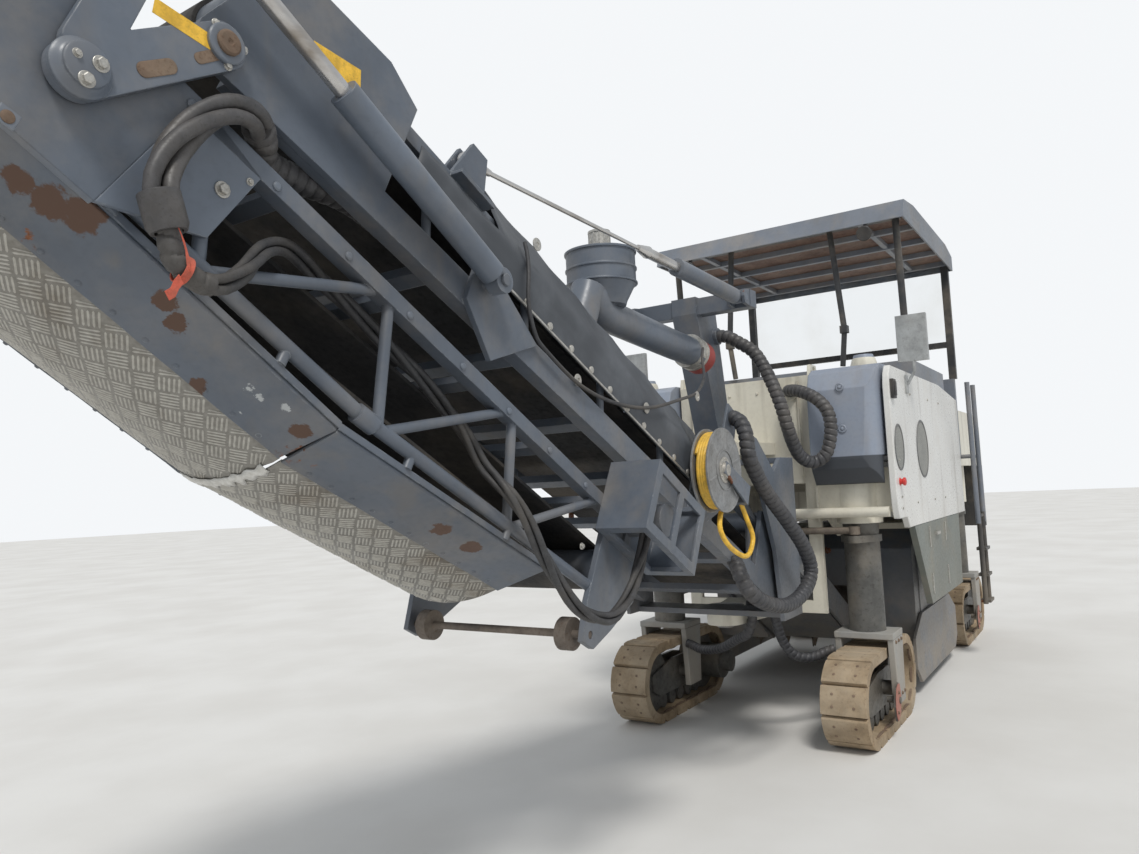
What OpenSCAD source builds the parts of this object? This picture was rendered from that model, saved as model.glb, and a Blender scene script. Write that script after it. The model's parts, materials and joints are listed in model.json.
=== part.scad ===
// Cold planer (road milling machine) on four steered tracks, conveyor folded for transport.
// Machine frame while drawing: x = 0 at the front lifting columns, +x to the conveyor side, +y to the
// machine's left, +z up from the ground. place() then moves the whole machine to the middle of its box.

/* [Tracks] */
// Distance between the front and the rear lifting columns
wheelbase = 3360; // [2900:10:3700]
// Distance between the left and the right lifting columns
gauge = 1400; // [1320:10:1500]
// Width of a track shoe
shoe_w = 260; // [220:5:300]
// Shoes in one track
shoe_n = 18; // [16:1:22]
// Thickness of a track shoe
shoe_t = 42; // [34:1:50]
// Distance between a track's idler and its sprocket
track_axles = 800; // [700:10:900]
// Radius of the chain under the shoes
chain_r = 222; // [200:1:240]
// Diameter of a lifting column
column_d = 220; // [180:5:240]
// Height of the top face of the portal over a track
portal_top = 617; // [600:1:660]
// Thickness of the portal's plates
portal_t = 36; // [24:1:44]

/* [Milling unit] */
// Milling width
mill_w = 1500; // [1300:10:1600]
// Diameter over the tool tips
drum_d = 980; // [900:10:1020]
// Height of the drum axis, lifted for transport
drum_z = 640; // [600:5:700]
// Picks on the drum
pick_n = 84; // [40:2:120]
// Thickness of the housing's sheets
sheet_t = 16; // [10:1:24]

/* [Frame and body] */
// Width over the side panels
body_w = 1960; // [1800:10:2100]
// Height of the main frame's lower face over the drum
frame_z = 1190; // [1170:5:1230]
// Height of the side panels' top edge
panel_top = 2270; // [2150:10:2350]
// Height of the operator's floor
floor_z = 1700; // [1600:10:1800]
// Height of the engine hood
hood_z = 2150; // [2000:10:2250]
// Rear face of the hood behind the rear columns
tail = 800; // [700:10:900]
// Front face of the tank covers ahead of the front columns
tank_front = 260; // [200:5:300]
// Width of a tank cover
tank_w = 430; // [360:10:460]

/* [Canopy] */
// Width of the roof
roof_w = 1960; // [1800:10:2100]
// Length of the roof
roof_l = 2050; // [1800:10:2200]
// Front edge of the roof behind the front columns
roof_back = 660; // [500:10:800]
// Height of the roof's outer edge
roof_z = 3500; // [3400:10:3600]
// Depth of the roof's rim
roof_rim = 90; // [60:5:120]

/* [Conveyor] */
// Slew axis ahead of the front columns
slew_x = 620; // [600:5:660]
// Luff pivot ahead of the front columns
luff_x = 800; // [780:5:840]
// Height of the luff pivot
luff_z = 1025; // [1000:5:1060]
// Tilt of the inner section
inner_tilt = 26.5; // [22:0.5:30]
// Tilt of the folded outer section
outer_tilt = 29.5; // [27:0.5:31]
// Width over the conveyor's chords
conv_w = 900; // [860:10:940]
// Width of the belt
belt_w = 600; // [500:10:650]
// Length of the inner section from its luff pivot to its end pins
inner_l = 3945; // [3700:5:4100]
// Length of the outer section from its fold pins to its end drum
outer_l = 2480; // [2300:10:2600]
// Diameter of the truss tubes
tube_d = 42; // [34:1:50]
// Running gap beside moving plates
gap = 8; // [6:1:12]

/* [Hidden] */
$fn = 48;
half_gauge = gauge / 2;
rear_x = -wheelbase;
loop_r = chain_r + shoe_t;
chain_in = chain_r - 18;
track_z = loop_r;
track_half = track_axles / 2 + loop_r;
loop_l = 2 * track_axles + 2 * PI * (chain_r + shoe_t / 2);
shoe_pitch = loop_l / shoe_n;
drum_x = -wheelbase / 2;
panel_y = body_w / 2;
hood_x = rear_x - tail;
chord_y = conv_w / 2;
// Joints of the fold, along and above the inner section from its luff pivot
fold_pin = [inner_l, -138];
swing_pin = [inner_l + 208, -456];
eye_pin = [inner_l + 235, 45];
barrel_pin = [inner_l - 1020, -70];
rope_pin = [3060, 370];
head = [1000, 360, 2650];
column_top = 1290;
// Top of the platform's walls, place and hinge height of the ladders
rail_z = 2420;
ladder_x = -2500;
ladder_half = 105;
handrail_half = 160;
ladder_z = 1200;
window_z = 2760;
// Frame walls, their top behind the tanks and the height that clears the tie rods
wall_y = 470;
frame_top = floor_z - 60;
rod_clear = 1310;
// Steering arms on the columns
arm_l = 150;
arm_t = 44;
arm_z = column_top - 114;
// Front cross plate of the frame
front_x = 60;
// Rear end and height of the outer section's cover
cover_back = 180;
lip_back = 145;
// Lid of the outer section: half width at its lip and at the lid, the lid's height over the lip and its crown
lip_y = 425;
lid_half = 240;
lid_z = 80;
lid_rise = 58;
// Where the lid's two parts meet and where the second ends, each with the height of its lip
lid_split = [930, 262];
lid_end = [1950, 215];
// Top of the inner section's rail and the start of its wide tarpaulin beyond the reel
rail_v = 233;
cover_x = 1310;
// Towing eyes: bore, thickness, underside and middle of the bore
tow_d = 50.1;
tow_t = 40;
tow_z = 1020;
tow_x = hood_x + 120;
tow_y = wall_y - 90;
// Hub of the hose reel on the inner section and the outer diameter of its flanges
reel = [1225, 88];
reel_d = 400;
// Wrapped hoses of the conveyor, plain hoses and the yellow water hose
wrap_d = 80;
hose_d = 60;
water_d = 24;

// Routes of the hoses: over the mast, from the mast to the front body, to the front tracks and under the reel,
// then over the fold in the inner section's frame and along the outer section in its own
conveyor_route = [[1450, 460, 1930], [1464, 515, 1898], [1486, 550, 1825], [1488, 560, 1715], [1394, 562, 1617], [1280, 568, 1521],
    [1083, 600, 1362], [905, 620, 1213], [810, 620, 1076], [908, 610, 976], [1110, 590, 927], [1326, 570, 951], [1514, 545, 1025],
    [1557, 510, 1109], [1515, 470, 1170], [1500, 448, 1196]];
tank_route = [[690, 96, 2500], [682, 150, 2492], [665, 216, 2450], [648, 310, 2374], [660, 391, 2227], [680, 455, 2067], [660, 487, 1915],
    [580, 489, 1809], [480, 500, 1725], [410, 555, 1690], [375, 625, 1740], [365, 660, 1880], [362, 645, 2000], [345, 570, 2090],
    [280, 450, 2150], [190, 355, 2168], [117, 341, 2170]];
left_route = [[590, 332, 1230], [597, 330, 1100], [600, 316, 980], [600, 301, 870], [500, 281, 735], [400, 280, 590], [330, 325, 495],
    [250, 400, 470], [140, 475, 495], [118, 515, 505]];
right_route = [[590, 200, 1235], [598, 195, 1080], [606, 182, 930], [600, 162, 830], [594, 166, 755], [566, 118, 655], [470, 10, 600],
    [345, -165, 508], [200, -365, 462], [130, -470, 472], [118, -515, 480]];
reel_route = [[1645, 560, 1500], [1605, 575, 1405], [1555, 580, 1310], [1650, 580, 1230], [1825, 570, 1290], [1905, 560, 1380],
    [1860, 550, 1455]];
fold_route = [[2400, 349, -88], [2800, 349, -88], [3200, 349, -92], [3420, 349, -112], [3610, 349, -195],
    [3700, 375, -231], [3755, 430, -226], [3816, 480, -241], [3872, 497, -285], [3911, 500, -354],
    [3936, 503, -432], [3944, 506, -497], [3937, 508, -559], [3914, 510, -600]];
outer_route = [[254, 510, 140], [289, 515, 179], [317, 515, 216], [355, 515, 230], [402, 510, 223], [443, 505, 192], [487, 487, 106],
    [524, 436, 2], [588, 385, -80], [673, 356, -112], [800, 345, -112], [1064, 345, -100], [1245, 345, -85], [1420, 350, -50], [1532, 372, 17], [1582, 412, 54], [1606, 470, 100], [1696, 500, 157], [1851, 510, 240], [1980, 530, 304],
    [2107, 550, 322], [2218, 565, 286], [2301, 565, 185], [2347, 556, 54], [2376, 546, -40], [2380, 540, -118]];

// Position of the machine in its own box
swing_xz = inner_xz(swing_pin);
lid_lean = atan2(lid_split[1] - lip_back, lid_split[0] + cover_back);
x_front = swing_xz[0] + (cover_back + (lid_z + lid_rise) * sin(lid_lean)) * cos(outer_tilt)
    + (lip_back + (lid_z + lid_rise) * cos(lid_lean)) * sin(outer_tilt);
x_rear = hood_x;
module place() translate([-(x_front + x_rear) / 2, 0, 0]) children();

// Colours
steel = [0.30, 0.33, 0.37];
cream = [0.90, 0.86, 0.74];
cover_blue = [0.38, 0.42, 0.50];
dark = [0.10, 0.10, 0.11];
dust = [0.52, 0.45, 0.36];
silver = [0.70, 0.70, 0.68];

// A plate in the x-z plane, t thick, with its middle at y
module side(y, t) translate([0, y, 0]) rotate([90, 0, 0]) linear_extrude(t, center = true) children();
// The same plate on both sides
module sides(y, t) { side(y, t) children(); side(-y, t) children(); }
// A round bar between two points
module bar(a, b, d) {
    v = b - a;
    translate(a) rotate([0, acos(v[2] / norm(v)), atan2(v[1], v[0])]) cylinder(d = d, h = norm(v));
}
// A round bar along y with its middle at [x, y, z]
module pin_y(x, y, z, d, l) translate([x, y, z]) rotate([90, 0, 0]) cylinder(d = d, h = l, center = true);
// A round bar along x with its middle at [x, y, z]
module pin_x(x, y, z, d, l) translate([x, y, z]) rotate([0, 90, 0]) cylinder(d = d, h = l, center = true);
// The machine's left-hand piece and its mirror image on the right
module both_sides() place() { children(); mirror([0, 1, 0]) children(); }
// A box from one corner to the other
module box(a, b) translate(a) cube(b - a);
// Drawing frame of the inner section: x along it, z square to it, from the luff pivot
module on_inner() translate([luff_x, 0, luff_z]) rotate([0, -inner_tilt, 0]) children();
// A point of the inner section in the machine frame
function inner_xz(p) = [luff_x + p[0] * cos(inner_tilt) - p[1] * sin(inner_tilt),
    luff_z + p[0] * sin(inner_tilt) + p[1] * cos(inner_tilt)];
// Drawing frame of the outer section: x from its fold pins to its end drum, z to its working top
module on_outer() translate([swing_xz[0], 0, swing_xz[1]]) rotate([0, 180 - outer_tilt, 0]) children();

// Track: the outline of the shoes round both wheels, with an open middle
function on_loop(s) = let (l = track_axles, a = 180 * (chain_r + shoe_t / 2) / 180 * PI)
    s < l ? [l / 2 - s, -(chain_r + shoe_t / 2), 180]
    : s < l + a ? let (t = (s - l) / a * 180) [-l / 2 - (chain_r + shoe_t / 2) * sin(t), -(chain_r + shoe_t / 2) * cos(t), 180 - t]
    : s < 2 * l + a ? [s - l - a - l / 2, chain_r + shoe_t / 2, 0]
    : let (t = (s - 2 * l - a) / a * 180) [l / 2 + (chain_r + shoe_t / 2) * sin(t), (chain_r + shoe_t / 2) * cos(t), -t];
module shoe_outline() {
    p = shoe_pitch;
    polygon([[-p * 0.47, -shoe_t / 2], [p * 0.47, -shoe_t / 2], [p * 0.47, shoe_t * 0.2], [p * 0.40, shoe_t / 2],
        [-p * 0.36, shoe_t / 2], [-p * 0.47, shoe_t * 0.1]]);
}
module loop_2d(r) {
    translate([-track_axles / 2, -r]) square([track_axles, 2 * r]);
    for (s = [-1, 1]) translate([s * track_axles / 2, 0]) circle(r, $fn = 64);
}
module track_at(x, y) color(dust) place() translate([x, y, track_z]) {
    side(0, shoe_w) difference() {
        intersection() {
            loop_2d(loop_r);
            union() {
                loop_2d(chain_r + shoe_t * 0.25);
                for (i = [0:shoe_n - 1]) let (q = on_loop((i + 0.5) * shoe_pitch))
                    translate([q[0], q[1]]) rotate(q[2]) shoe_outline();
            }
        }
        loop_2d(chain_in);
    }
}

// Lifting column with the portal, the track frame, its wheels and the outer guard. out = 1 on the left
module column_at(x, y, out) color(steel) place() translate([x, y, 0]) {
    leg_y = shoe_w / 2 + 12 + portal_t / 2;
    difference() {
        translate([0, 0, portal_top - 1]) cylinder(d = column_d, h = column_top - portal_top + 61);
        translate([0, 0, column_top]) cylinder(d = column_d - 50, h = 70);
    }
    box([-130, -leg_y - portal_t / 2, portal_top - portal_t], [130, leg_y + portal_t / 2, portal_top]);
    sides(leg_y, portal_t) polygon([[-120, portal_top - portal_t + 1], [120, portal_top - portal_t + 1], [100, track_z + 60],
        [90, track_z - 80], [-90, track_z - 80], [-100, track_z + 60]]);
    // Cross shaft, roller frame, rollers, idler and sprocket
    pin_y(0, 0, track_z, 90, 2 * leg_y + 20);
    translate([0, 0, track_z]) {
        sides(60, 22) polygon([[-track_axles / 2 - 40, -60], [-track_axles / 2 - 40, 50], [-120, 110], [120, 110],
            [track_axles / 2 + 40, 50], [track_axles / 2 + 40, -60], [track_axles / 2 - 60, -110], [-track_axles / 2 + 60, -110]]);
        for (sx = [-1, 1]) pin_y(sx * track_axles / 2, 0, 0, 2 * (chain_in - 0.3), 104);
        for (i = [-2:2]) pin_y(i * 130, 0, 48.3 - chain_in, 96, 104);
        // Drive motor on the inner side
        pin_y(-track_axles / 2, -out * 130, 0, 250, 184);
        pin_y(-track_axles / 2, -out * 240, 0, 150, 90);
        // Outer guard plate
        side(out * (leg_y + portal_t / 2 + 5), 12) polygon([[110, 60], [190, 40], [230, -60], [200, -150], [120, -110], [90, -20]]);
        pin_y(130, out * (shoe_w / 2 + 30), -40, 40, 80);
    }
    // Steering arm at the top of the column
    difference() {
        translate([0, 0, arm_z]) hull() {
            cylinder(d = column_d + 30, h = arm_t);
            translate([arm_l, 0, 0]) cylinder(d = 90, h = arm_t);
        }
        translate([arm_l, 0, arm_z - 1]) cylinder(d = 40.1, h = arm_t + 2);
    }
}
module tie_rod_at(x) color(dark) place() {
    for (s = [-1, 1]) translate([x + arm_l, s * half_gauge, 0]) {
        translate([0, 0, arm_z + 2]) cylinder(d = 40, h = arm_t + gap);
        translate([0, 0, arm_z + arm_t + gap]) cylinder(d = 68, h = 50);
    }
    pin_y(x + arm_l, 0, arm_z + arm_t + gap + 25, 44, gauge - 20);
}

// Main frame: side walls, cross walls, column guides and the bearings of the slewing mast
module main_frame() color(cream) place() {
    sides(wall_y, sheet_t) polygon([[120, rod_clear], [120, 1600], [-900, 1600], [-1000, frame_top], [hood_x + 40, frame_top],
        [hood_x + 40, tow_z], [rear_x - 330, tow_z], [rear_x - 250, rod_clear], [rear_x + 400, rod_clear], [rear_x + 560, frame_z], [-300, frame_z], [-100, rod_clear]]);
    // Column guides
    for (sx = [0, rear_x], s = [-1, 1]) translate([sx, s * half_gauge, column_top + 4]) difference() {
        cylinder(d = column_d + 60, h = 420);
        translate([0, 0, -1]) cylinder(d = column_d + 0.6, h = 422);
    }
    for (sx = [0, rear_x], s = [-1, 1]) difference() {
        box([sx - 110, min(s * wall_y, s * (half_gauge - 60)), column_top + 40], [sx + 110, max(s * wall_y, s * (half_gauge - 60)), column_top + 380]);
        translate([sx, s * half_gauge, column_top]) cylinder(d = column_d + 40, h = 440);
    }
    // Cross walls and floor of the frame
    box([-1000, -wall_y, frame_z + 300], [-980, wall_y, 1600]);
    box([rear_x + 380, -wall_y, rod_clear], [rear_x + 400, wall_y, frame_top]);
    box([rear_x - 250, -wall_y, rod_clear], [rear_x + 400, wall_y, rod_clear + 20]);
    // Brackets of the side panels and of the receiving conveyor
    for (s = [-1, 1]) {
        box([-60, min(s * 800, s * (panel_y - 40)), 1360], [60, max(s * 800, s * (panel_y - 40)), 1640]);
        for (x = [-1560, -2240]) box([x, min(s * wall_y, s * (panel_y - 40)), 1300], [x + 60, max(s * wall_y, s * (panel_y - 40)), 1560]);
        for (x = [-900, -1760]) box([x, min(s * wall_y, s * (panel_y - 40)), 1200], [x + 60, max(s * wall_y, s * (panel_y - 40)), 1240]);
        box([front_x, min(s * (belt_w / 2 + 40.3), s * 400), 940], [front_x + 30, max(s * (belt_w / 2 + 40.3), s * 400), 1040]);
    }
    // Front body between the tanks, with its lifting lugs
    box([front_x + 10, -wall_y, 1560], [front_x + 30, wall_y, panel_top]);
    box([-899.7, -wall_y, panel_top - 20], [front_x + 30, wall_y, panel_top]);
    sides(wall_y - 10, 20) polygon([[-899.7, 1590], [front_x + 30, 1590], [front_x + 30, panel_top], [-899.7, panel_top]]);
    sides(wall_y - 10, 24) difference() {
        polygon([[-60, panel_top - 10], [90, panel_top - 10], [70, panel_top + 70], [-40, panel_top + 70]]);
        translate([10, panel_top + 35]) circle(d = 50.1);
    }
    pin_x(front_x + 38, 340, 2170, wrap_d + 24, 22);
    // Towing eyes under the rear
    for (s = [-1, 1]) difference() {
        box([tow_x - 60, min(s * (tow_y - 60), s * wall_y), tow_z], [tow_x + 60, max(s * (tow_y - 60), s * wall_y), tow_z + tow_t]);
        translate([tow_x, s * tow_y, tow_z - 1]) cylinder(d = tow_d, h = tow_t + 2);
    }
    // Steering cylinder on the left guide
    pin_y(170, 570, 1366, 64, 710);
    box([60, 530, 1340], [170, 585, 1392]);
    // Bearing arms of the mast
    difference() {
        union() {
            for (z = [[720, 800], [1760, 1840]]) hull() {
                box([front_x, -200, z[0]], [front_x + 40, 200, z[1]]);
                translate([slew_x, 0, z[0]]) cylinder(d = 220, h = z[1] - z[0]);
            }
        }
        translate([slew_x, 0, 700]) cylinder(d = 100.1, h = 1200);
    }
    // Front plate under the receiving conveyor
    for (s = [-1, 1]) box([front_x, min(s * 390, s * 478), 720], [front_x + 30, max(s * 390, s * 478), 1600]);
    box([front_x, -478, 720], [front_x + 30, 478, 800]);
}

// Milling unit
module drum_housing() color(steel) place() {
    hy = mill_w / 2 + 30;
    difference() {
        side(0, 2 * hy) polygon([[drum_x - 640, 560], [drum_x - 640, 1080], [drum_x - 420, frame_z - 0.3], [drum_x + 420, frame_z - 0.3],
            [drum_x + 640, 1040], [drum_x + 640, 330], [drum_x + 600, 330], [drum_x + 600, 420]]);
        side(0, 2 * hy - 2 * sheet_t) polygon([[drum_x - 640 + sheet_t, 100], [drum_x - 640 + sheet_t, 1070], [drum_x - 410, frame_z - 2 - sheet_t],
            [drum_x + 410, frame_z - 2 - sheet_t], [drum_x + 640 - sheet_t, 1030], [drum_x + 640 - sheet_t, 100]]);
        box([drum_x + 500, -360, 200], [drum_x + 700, 360, 760]);
        pin_y(drum_x, 0, drum_z, 160.1, 2 * hy + 10);
    }
    // Ribs that the side plates slide on
    for (s = [-1, 1], x = [-450, 450]) side(s * (hy + (gap - 0.3) / 2), gap - 0.3) polygon([[drum_x + x - 40, 440], [drum_x + x + 40, 440], [drum_x + x + 40, 1060], [drum_x + x - 40, 1060]]);
}
module side_plate(s) color(steel) place() {
    y = s * (mill_w / 2 + 30 + gap + 10);
    side(y, 20) polygon([[drum_x - 820, 180], [drum_x - 700, 90], [drum_x + 700, 90], [drum_x + 840, 210], [drum_x + 840, 420],
        [drum_x + 560, 560], [drum_x - 560, 560], [drum_x - 820, 420]]);
}
module scraper_blade() color(steel) place() {
    x = drum_x - 640;
    box([x - 30, -mill_w / 2, 170], [x, mill_w / 2, 800]);
    for (s = [-1, 1]) bar([x - 60, s * 420, 500], [x - 60, s * 420, 1150], 70);
    for (s = [-1, 1]) box([x - 100, s * 420 - 40, 460], [x - 20, s * 420 + 40, 520]);
}
module milling_drum() color(steel) place() translate([drum_x, 0, drum_z]) {
    core_r = drum_d / 2 - 150;
    rotate([90, 0, 0]) difference() {
        cylinder(r = core_r, h = mill_w - 40, center = true);
        cylinder(r = core_r - 60, h = mill_w, center = true);
    }
    for (s = [-1, 1]) pin_y(0, s * (mill_w / 2 - 60), 0, 2 * core_r - 20, 40);
    pin_y(0, 0, 0, 160, mill_w + 2 * 28);
    // Picks on two spirals that meet in the middle
    for (i = [0:pick_n - 1]) let (t = i / (pick_n - 1), y = (t - 0.5) * (mill_w - 80), a = abs(t - 0.5) * 720 + i * 120)
        translate([0, y, 0]) rotate([0, a, 0]) translate([core_r - 12, 0, 0]) rotate([0, 70, 0]) {
            cylinder(d = 62, h = 80, $fn = 16);
            translate([0, 0, 79]) cylinder(d1 = 48, d2 = 10, h = 84, $fn = 16);
        }
}

// Body
module engine() color(dark) place() box([rear_x - 620, -400, rod_clear + 20], [rear_x + 370, 400, 1980]);
module engine_hood() color(cream) place() { hood_shell(); pin_y(rear_x + 540, 0, hood_z - 10, 34, body_w - 200); }
module hood_shell() difference() {
    side(0, body_w - 160) polygon([[hood_x, frame_top + 0.3], [hood_x, hood_z - 120], [hood_x + 120, hood_z], [rear_x + 560, hood_z], [rear_x + 560, frame_top + 0.3]]);
    side(0, body_w - 160 - 2 * 20) polygon([[hood_x + 20, 1600], [hood_x + 20, hood_z - 128], [hood_x + 128, hood_z - 20], [rear_x + 561, hood_z - 20], [rear_x + 561, 1600]]);
}
module rear_grille() color(dark) place() difference() {
    box([hood_x, -body_w / 2 + 80, 1020], [hood_x + 40, body_w / 2 - 80, frame_top]);
    for (i = [0:8]) box([hood_x - 1, -500, 1090 + i * 58], [hood_x + 41, 500, 1090 + i * 58 + 30]);
}
module tank_cover() color(cover_blue) {
    y0 = panel_y - 60 - tank_w;
    difference() {
        intersection() {
            side(y0 + tank_w / 2, tank_w) polygon([[-420, 1720], [-420, 2290], [tank_front - 140, 2290], [tank_front - 60, 2250], [tank_front - 10, 2140],
                [tank_front, 1700], [tank_front - 10, 1640], [tank_front - 90, 1530], [-60, 1530], [-60, 1720]]);
            translate([0, 0, 1500]) linear_extrude(900) {
                translate([-420, y0]) square([tank_front + 420, tank_w - 120]);
                translate([-420, y0]) square([tank_front + 300, tank_w]);
                translate([tank_front - 120, y0 + tank_w - 120]) circle(120);
            }
        }
        box([-180, y0 - 1, 1500], [180, y0 + tank_w + 1, column_top + 424.3]);
    }
    translate([-20, panel_y - 190, 2280]) cylinder(d1 = 170, d2 = 120, h = 90);
}
module side_panel() color(cream) side(panel_y - 20, 40) difference() {
    polygon([[150, 1320], [190, 1500], [190, 2150], [120, panel_top], [-1500, panel_top], [-2300, 2200], [-2300, 1250], [-120, 1250], [-60, 1320]]);
    for (x = [-100, -670]) translate([x, 1760]) scale([1, 2.6]) circle(95);
}
module lower_panel() color(steel) side(panel_y - 20, 40) polygon([[-250, 1249.7], [-640, 700], [-1900, 700], [-1960, 1249.7]]);
module operator_platform() color(steel) place() {
    x1 = -roof_back - roof_l + 60;
    box([x1, -panel_y + 50, floor_z], [-900, panel_y - 50, floor_z + 30]);
    box([x1, -wall_y, frame_top], [-1000, wall_y, floor_z + 1]);
    box([-940, -panel_y + 50, floor_z], [-900, panel_y - 50, rail_z]);
    for (s = [-1, 1]) side(s * (panel_y - 80), 30) polygon([[x1 + 500, floor_z + 29], [-900, floor_z + 29], [-900, rail_z], [x1 + 500, rail_z]]);
    box([x1 - 30, -panel_y + 50, floor_z], [x1 + 31, panel_y - 50, rail_z]);
    // Handrails beside the ladders
    for (s = [-1, 1], dx = [-handrail_half, handrail_half]) {
        bar([ladder_x + dx, s * (panel_y + 90), ladder_z - 60], [ladder_x + dx, s * (panel_y + 90), 2350], 40);
        bar([ladder_x + dx, s * (panel_y - 60), floor_z + 16], [ladder_x + dx, s * (panel_y + 90), floor_z + 16], 30);
    }
}
module control_console() color(dark) place() {
    for (s = [-1, 1]) translate([-1100, s * 480, 0]) {
        box([-120, -260, 2200], [120, 260, 2260]);
        box([-60, -80, floor_z + 30], [60, 80, 2201]);
    }
    box([-2000, -260, floor_z + 30], [-1640, 260, 2150]);
    box([-2060, -260, floor_z + 30], [-2000, 260, 2500]);
}
module canopy_frame() color(dark) place() {
    yl = roof_w / 2 - 60;
    xb = -roof_back - roof_l + 60;
    for (s = [-1, 1]) {
        box([xb - 30, s * yl - 30, rail_z], [xb + 30, s * yl + 30, roof_z - 1]);
        bar([-935, s * 885, rail_z + 3], [-860, s * 885, roof_z - 20], 50);
        bar([-870, s * 430, rail_z + 3], [-870, s * 460, 2690], 40);
        box([-898, s * 460 - 28, 2672], [-842, s * 460 + 28, 2728]);
        bar([-870, s * 460, 2710], [-870, s * 400, roof_z - 20], 44);
    }
    box([xb - 25, -yl, window_z - 50], [xb + 25, yl, window_z]);
    for (x = [xb, -860]) box([x - 30, -yl, roof_z - 40], [x + 30, yl, roof_z]);
}
module canopy_roof() color(steel) place() difference() {
    side(0, roof_w) polygon([[-roof_back, roof_z - roof_rim], [-roof_back - 60, roof_z + 50], [-roof_back - 400, roof_z + 90], [-roof_back - roof_l + 300, roof_z + 90],
        [-roof_back - roof_l, roof_z + 40], [-roof_back - roof_l, roof_z - roof_rim]]);
    side(0, roof_w - 24) polygon([[-roof_back - 12, roof_z - roof_rim - 1], [-roof_back - 68, roof_z + 0.5], [-roof_back - roof_l + 12, roof_z + 0.5], [-roof_back - roof_l + 12, roof_z - roof_rim - 1]]);
}
module rear_window() color([0.6, 0.65, 0.68, 0.35]) place() {
    xb = -roof_back - roof_l + 60;
    box([xb - 6, -roof_w / 2 + 90, window_z], [xb + 6, roof_w / 2 - 90, roof_z - 40]);
}
module ladder(s) color(dark) place() {
    y = s * (panel_y + 90);
    x = ladder_x;
    for (dx = [-ladder_half, ladder_half]) bar([x + dx, y, 460], [x + dx, y, ladder_z + 30], 40);
    for (z = [470:220:ladder_z - 100]) box([x - ladder_half, y - 40, z], [x + ladder_half, y + 40, z + 24]);
    translate([x, y, ladder_z]) rotate([0, 90, 0]) cylinder(d = 26, h = 2 * handrail_half - 40.6, center = true);
}
module mirror_arm() color(dark) {
    y = panel_y + 60;
    box([-330, panel_y, 2120], [-270, panel_y + 12, 2240]);
    bar([-300, panel_y + 14, 2180], [-300, y, 2260], 20);
    bar([-300, y, 2255], [-300, y, 2560], 20);
    box([-330, y - 95, 2330], [-290, y + 95, 2640]);
}

// Receiving conveyor from the drum to the mast
module receiving_conveyor() color(dark) place() {
    a = [-1060, 420];
    b = [620, 1330];
    t = atan2(b[1] - a[1], b[0] - a[0]);
    l = norm(b - a);
    translate([a[0], 0, a[1]]) rotate([0, -t, 0]) {
        box([0, -belt_w / 2, -70], [l, belt_w / 2, 70]);
        for (x = [0, l]) {
            pin_y(x, 0, 0, 140, belt_w);
            pin_y(x, 0, 0, 60, belt_w + 60);
        }
        sides(belt_w / 2 + 30, 20) polygon([[-60, -80], [-60, 90], [200, 105], [l, 105], [l + 60, 70], [l + 60, -80]]);
    }
}

// Slewing mast
module slew_mast() color(steel) place() {
    ry = chord_y + 40;
    difference() {
        union() {
            translate([slew_x, 0, 800 + gap]) cylinder(d = 240, h = 24);
            translate([slew_x, 0, 700]) cylinder(d = 100, h = 110);
            translate([slew_x, 0, 1700]) cylinder(d = 100, h = 200);
            sides(ry, 24) polygon([[slew_x + 30, 800 + gap], [slew_x + 340, 800 + gap], [slew_x + 400, 1200], [slew_x + 560, 1540], [slew_x + 720, 1850],
                [slew_x + 590, 1820], [slew_x + 360, 1640], [slew_x + 240, 1720], [slew_x + 30, 1720]]);
            box([slew_x + 30, -ry, 800 + gap], [slew_x + 230, ry, 832 + gap]);
            box([slew_x + 30, -ry, 1690], [slew_x + 240, ry, 1720]);
        }
    }
    box([slew_x - 60, -100, 1690], [slew_x + 60, 100, 1720]);
    translate([slew_x, 0, 1840 + gap]) cylinder(d = 240, h = 30);
    side(0, 160) polygon([[slew_x - 90, 1870], [slew_x + 100, 1870], [head[0] - 40, head[2] - 40], [head[0] - 40, head[2] + 60], [slew_x + 60, head[2] + 60]]);
    pin_y(tank_route[0][0], 90, tank_route[0][2], wrap_d + 24, 24);
    box([head[0] - 140, -head[1] - 60, head[2] - 50], [head[0] - 50, head[1] + 60, head[2] + 50]);
    for (s = [-1, 1], e = [-1, 1]) side(s * head[1] + e * 46, 20) difference() {
        polygon([[head[0] - 60, head[2] - 50], [head[0] + 20, head[2] - 40], [head[0] + 34, head[2]], [head[0] + 20, head[2] + 40], [head[0] - 60, head[2] + 50]]);
        translate([head[0], head[2]]) circle(d = 40.1);
    }
    for (s = [-1, 1]) pin_y(luff_x, s * (chord_y + 14), luff_z, 70, 76);
}
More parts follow.
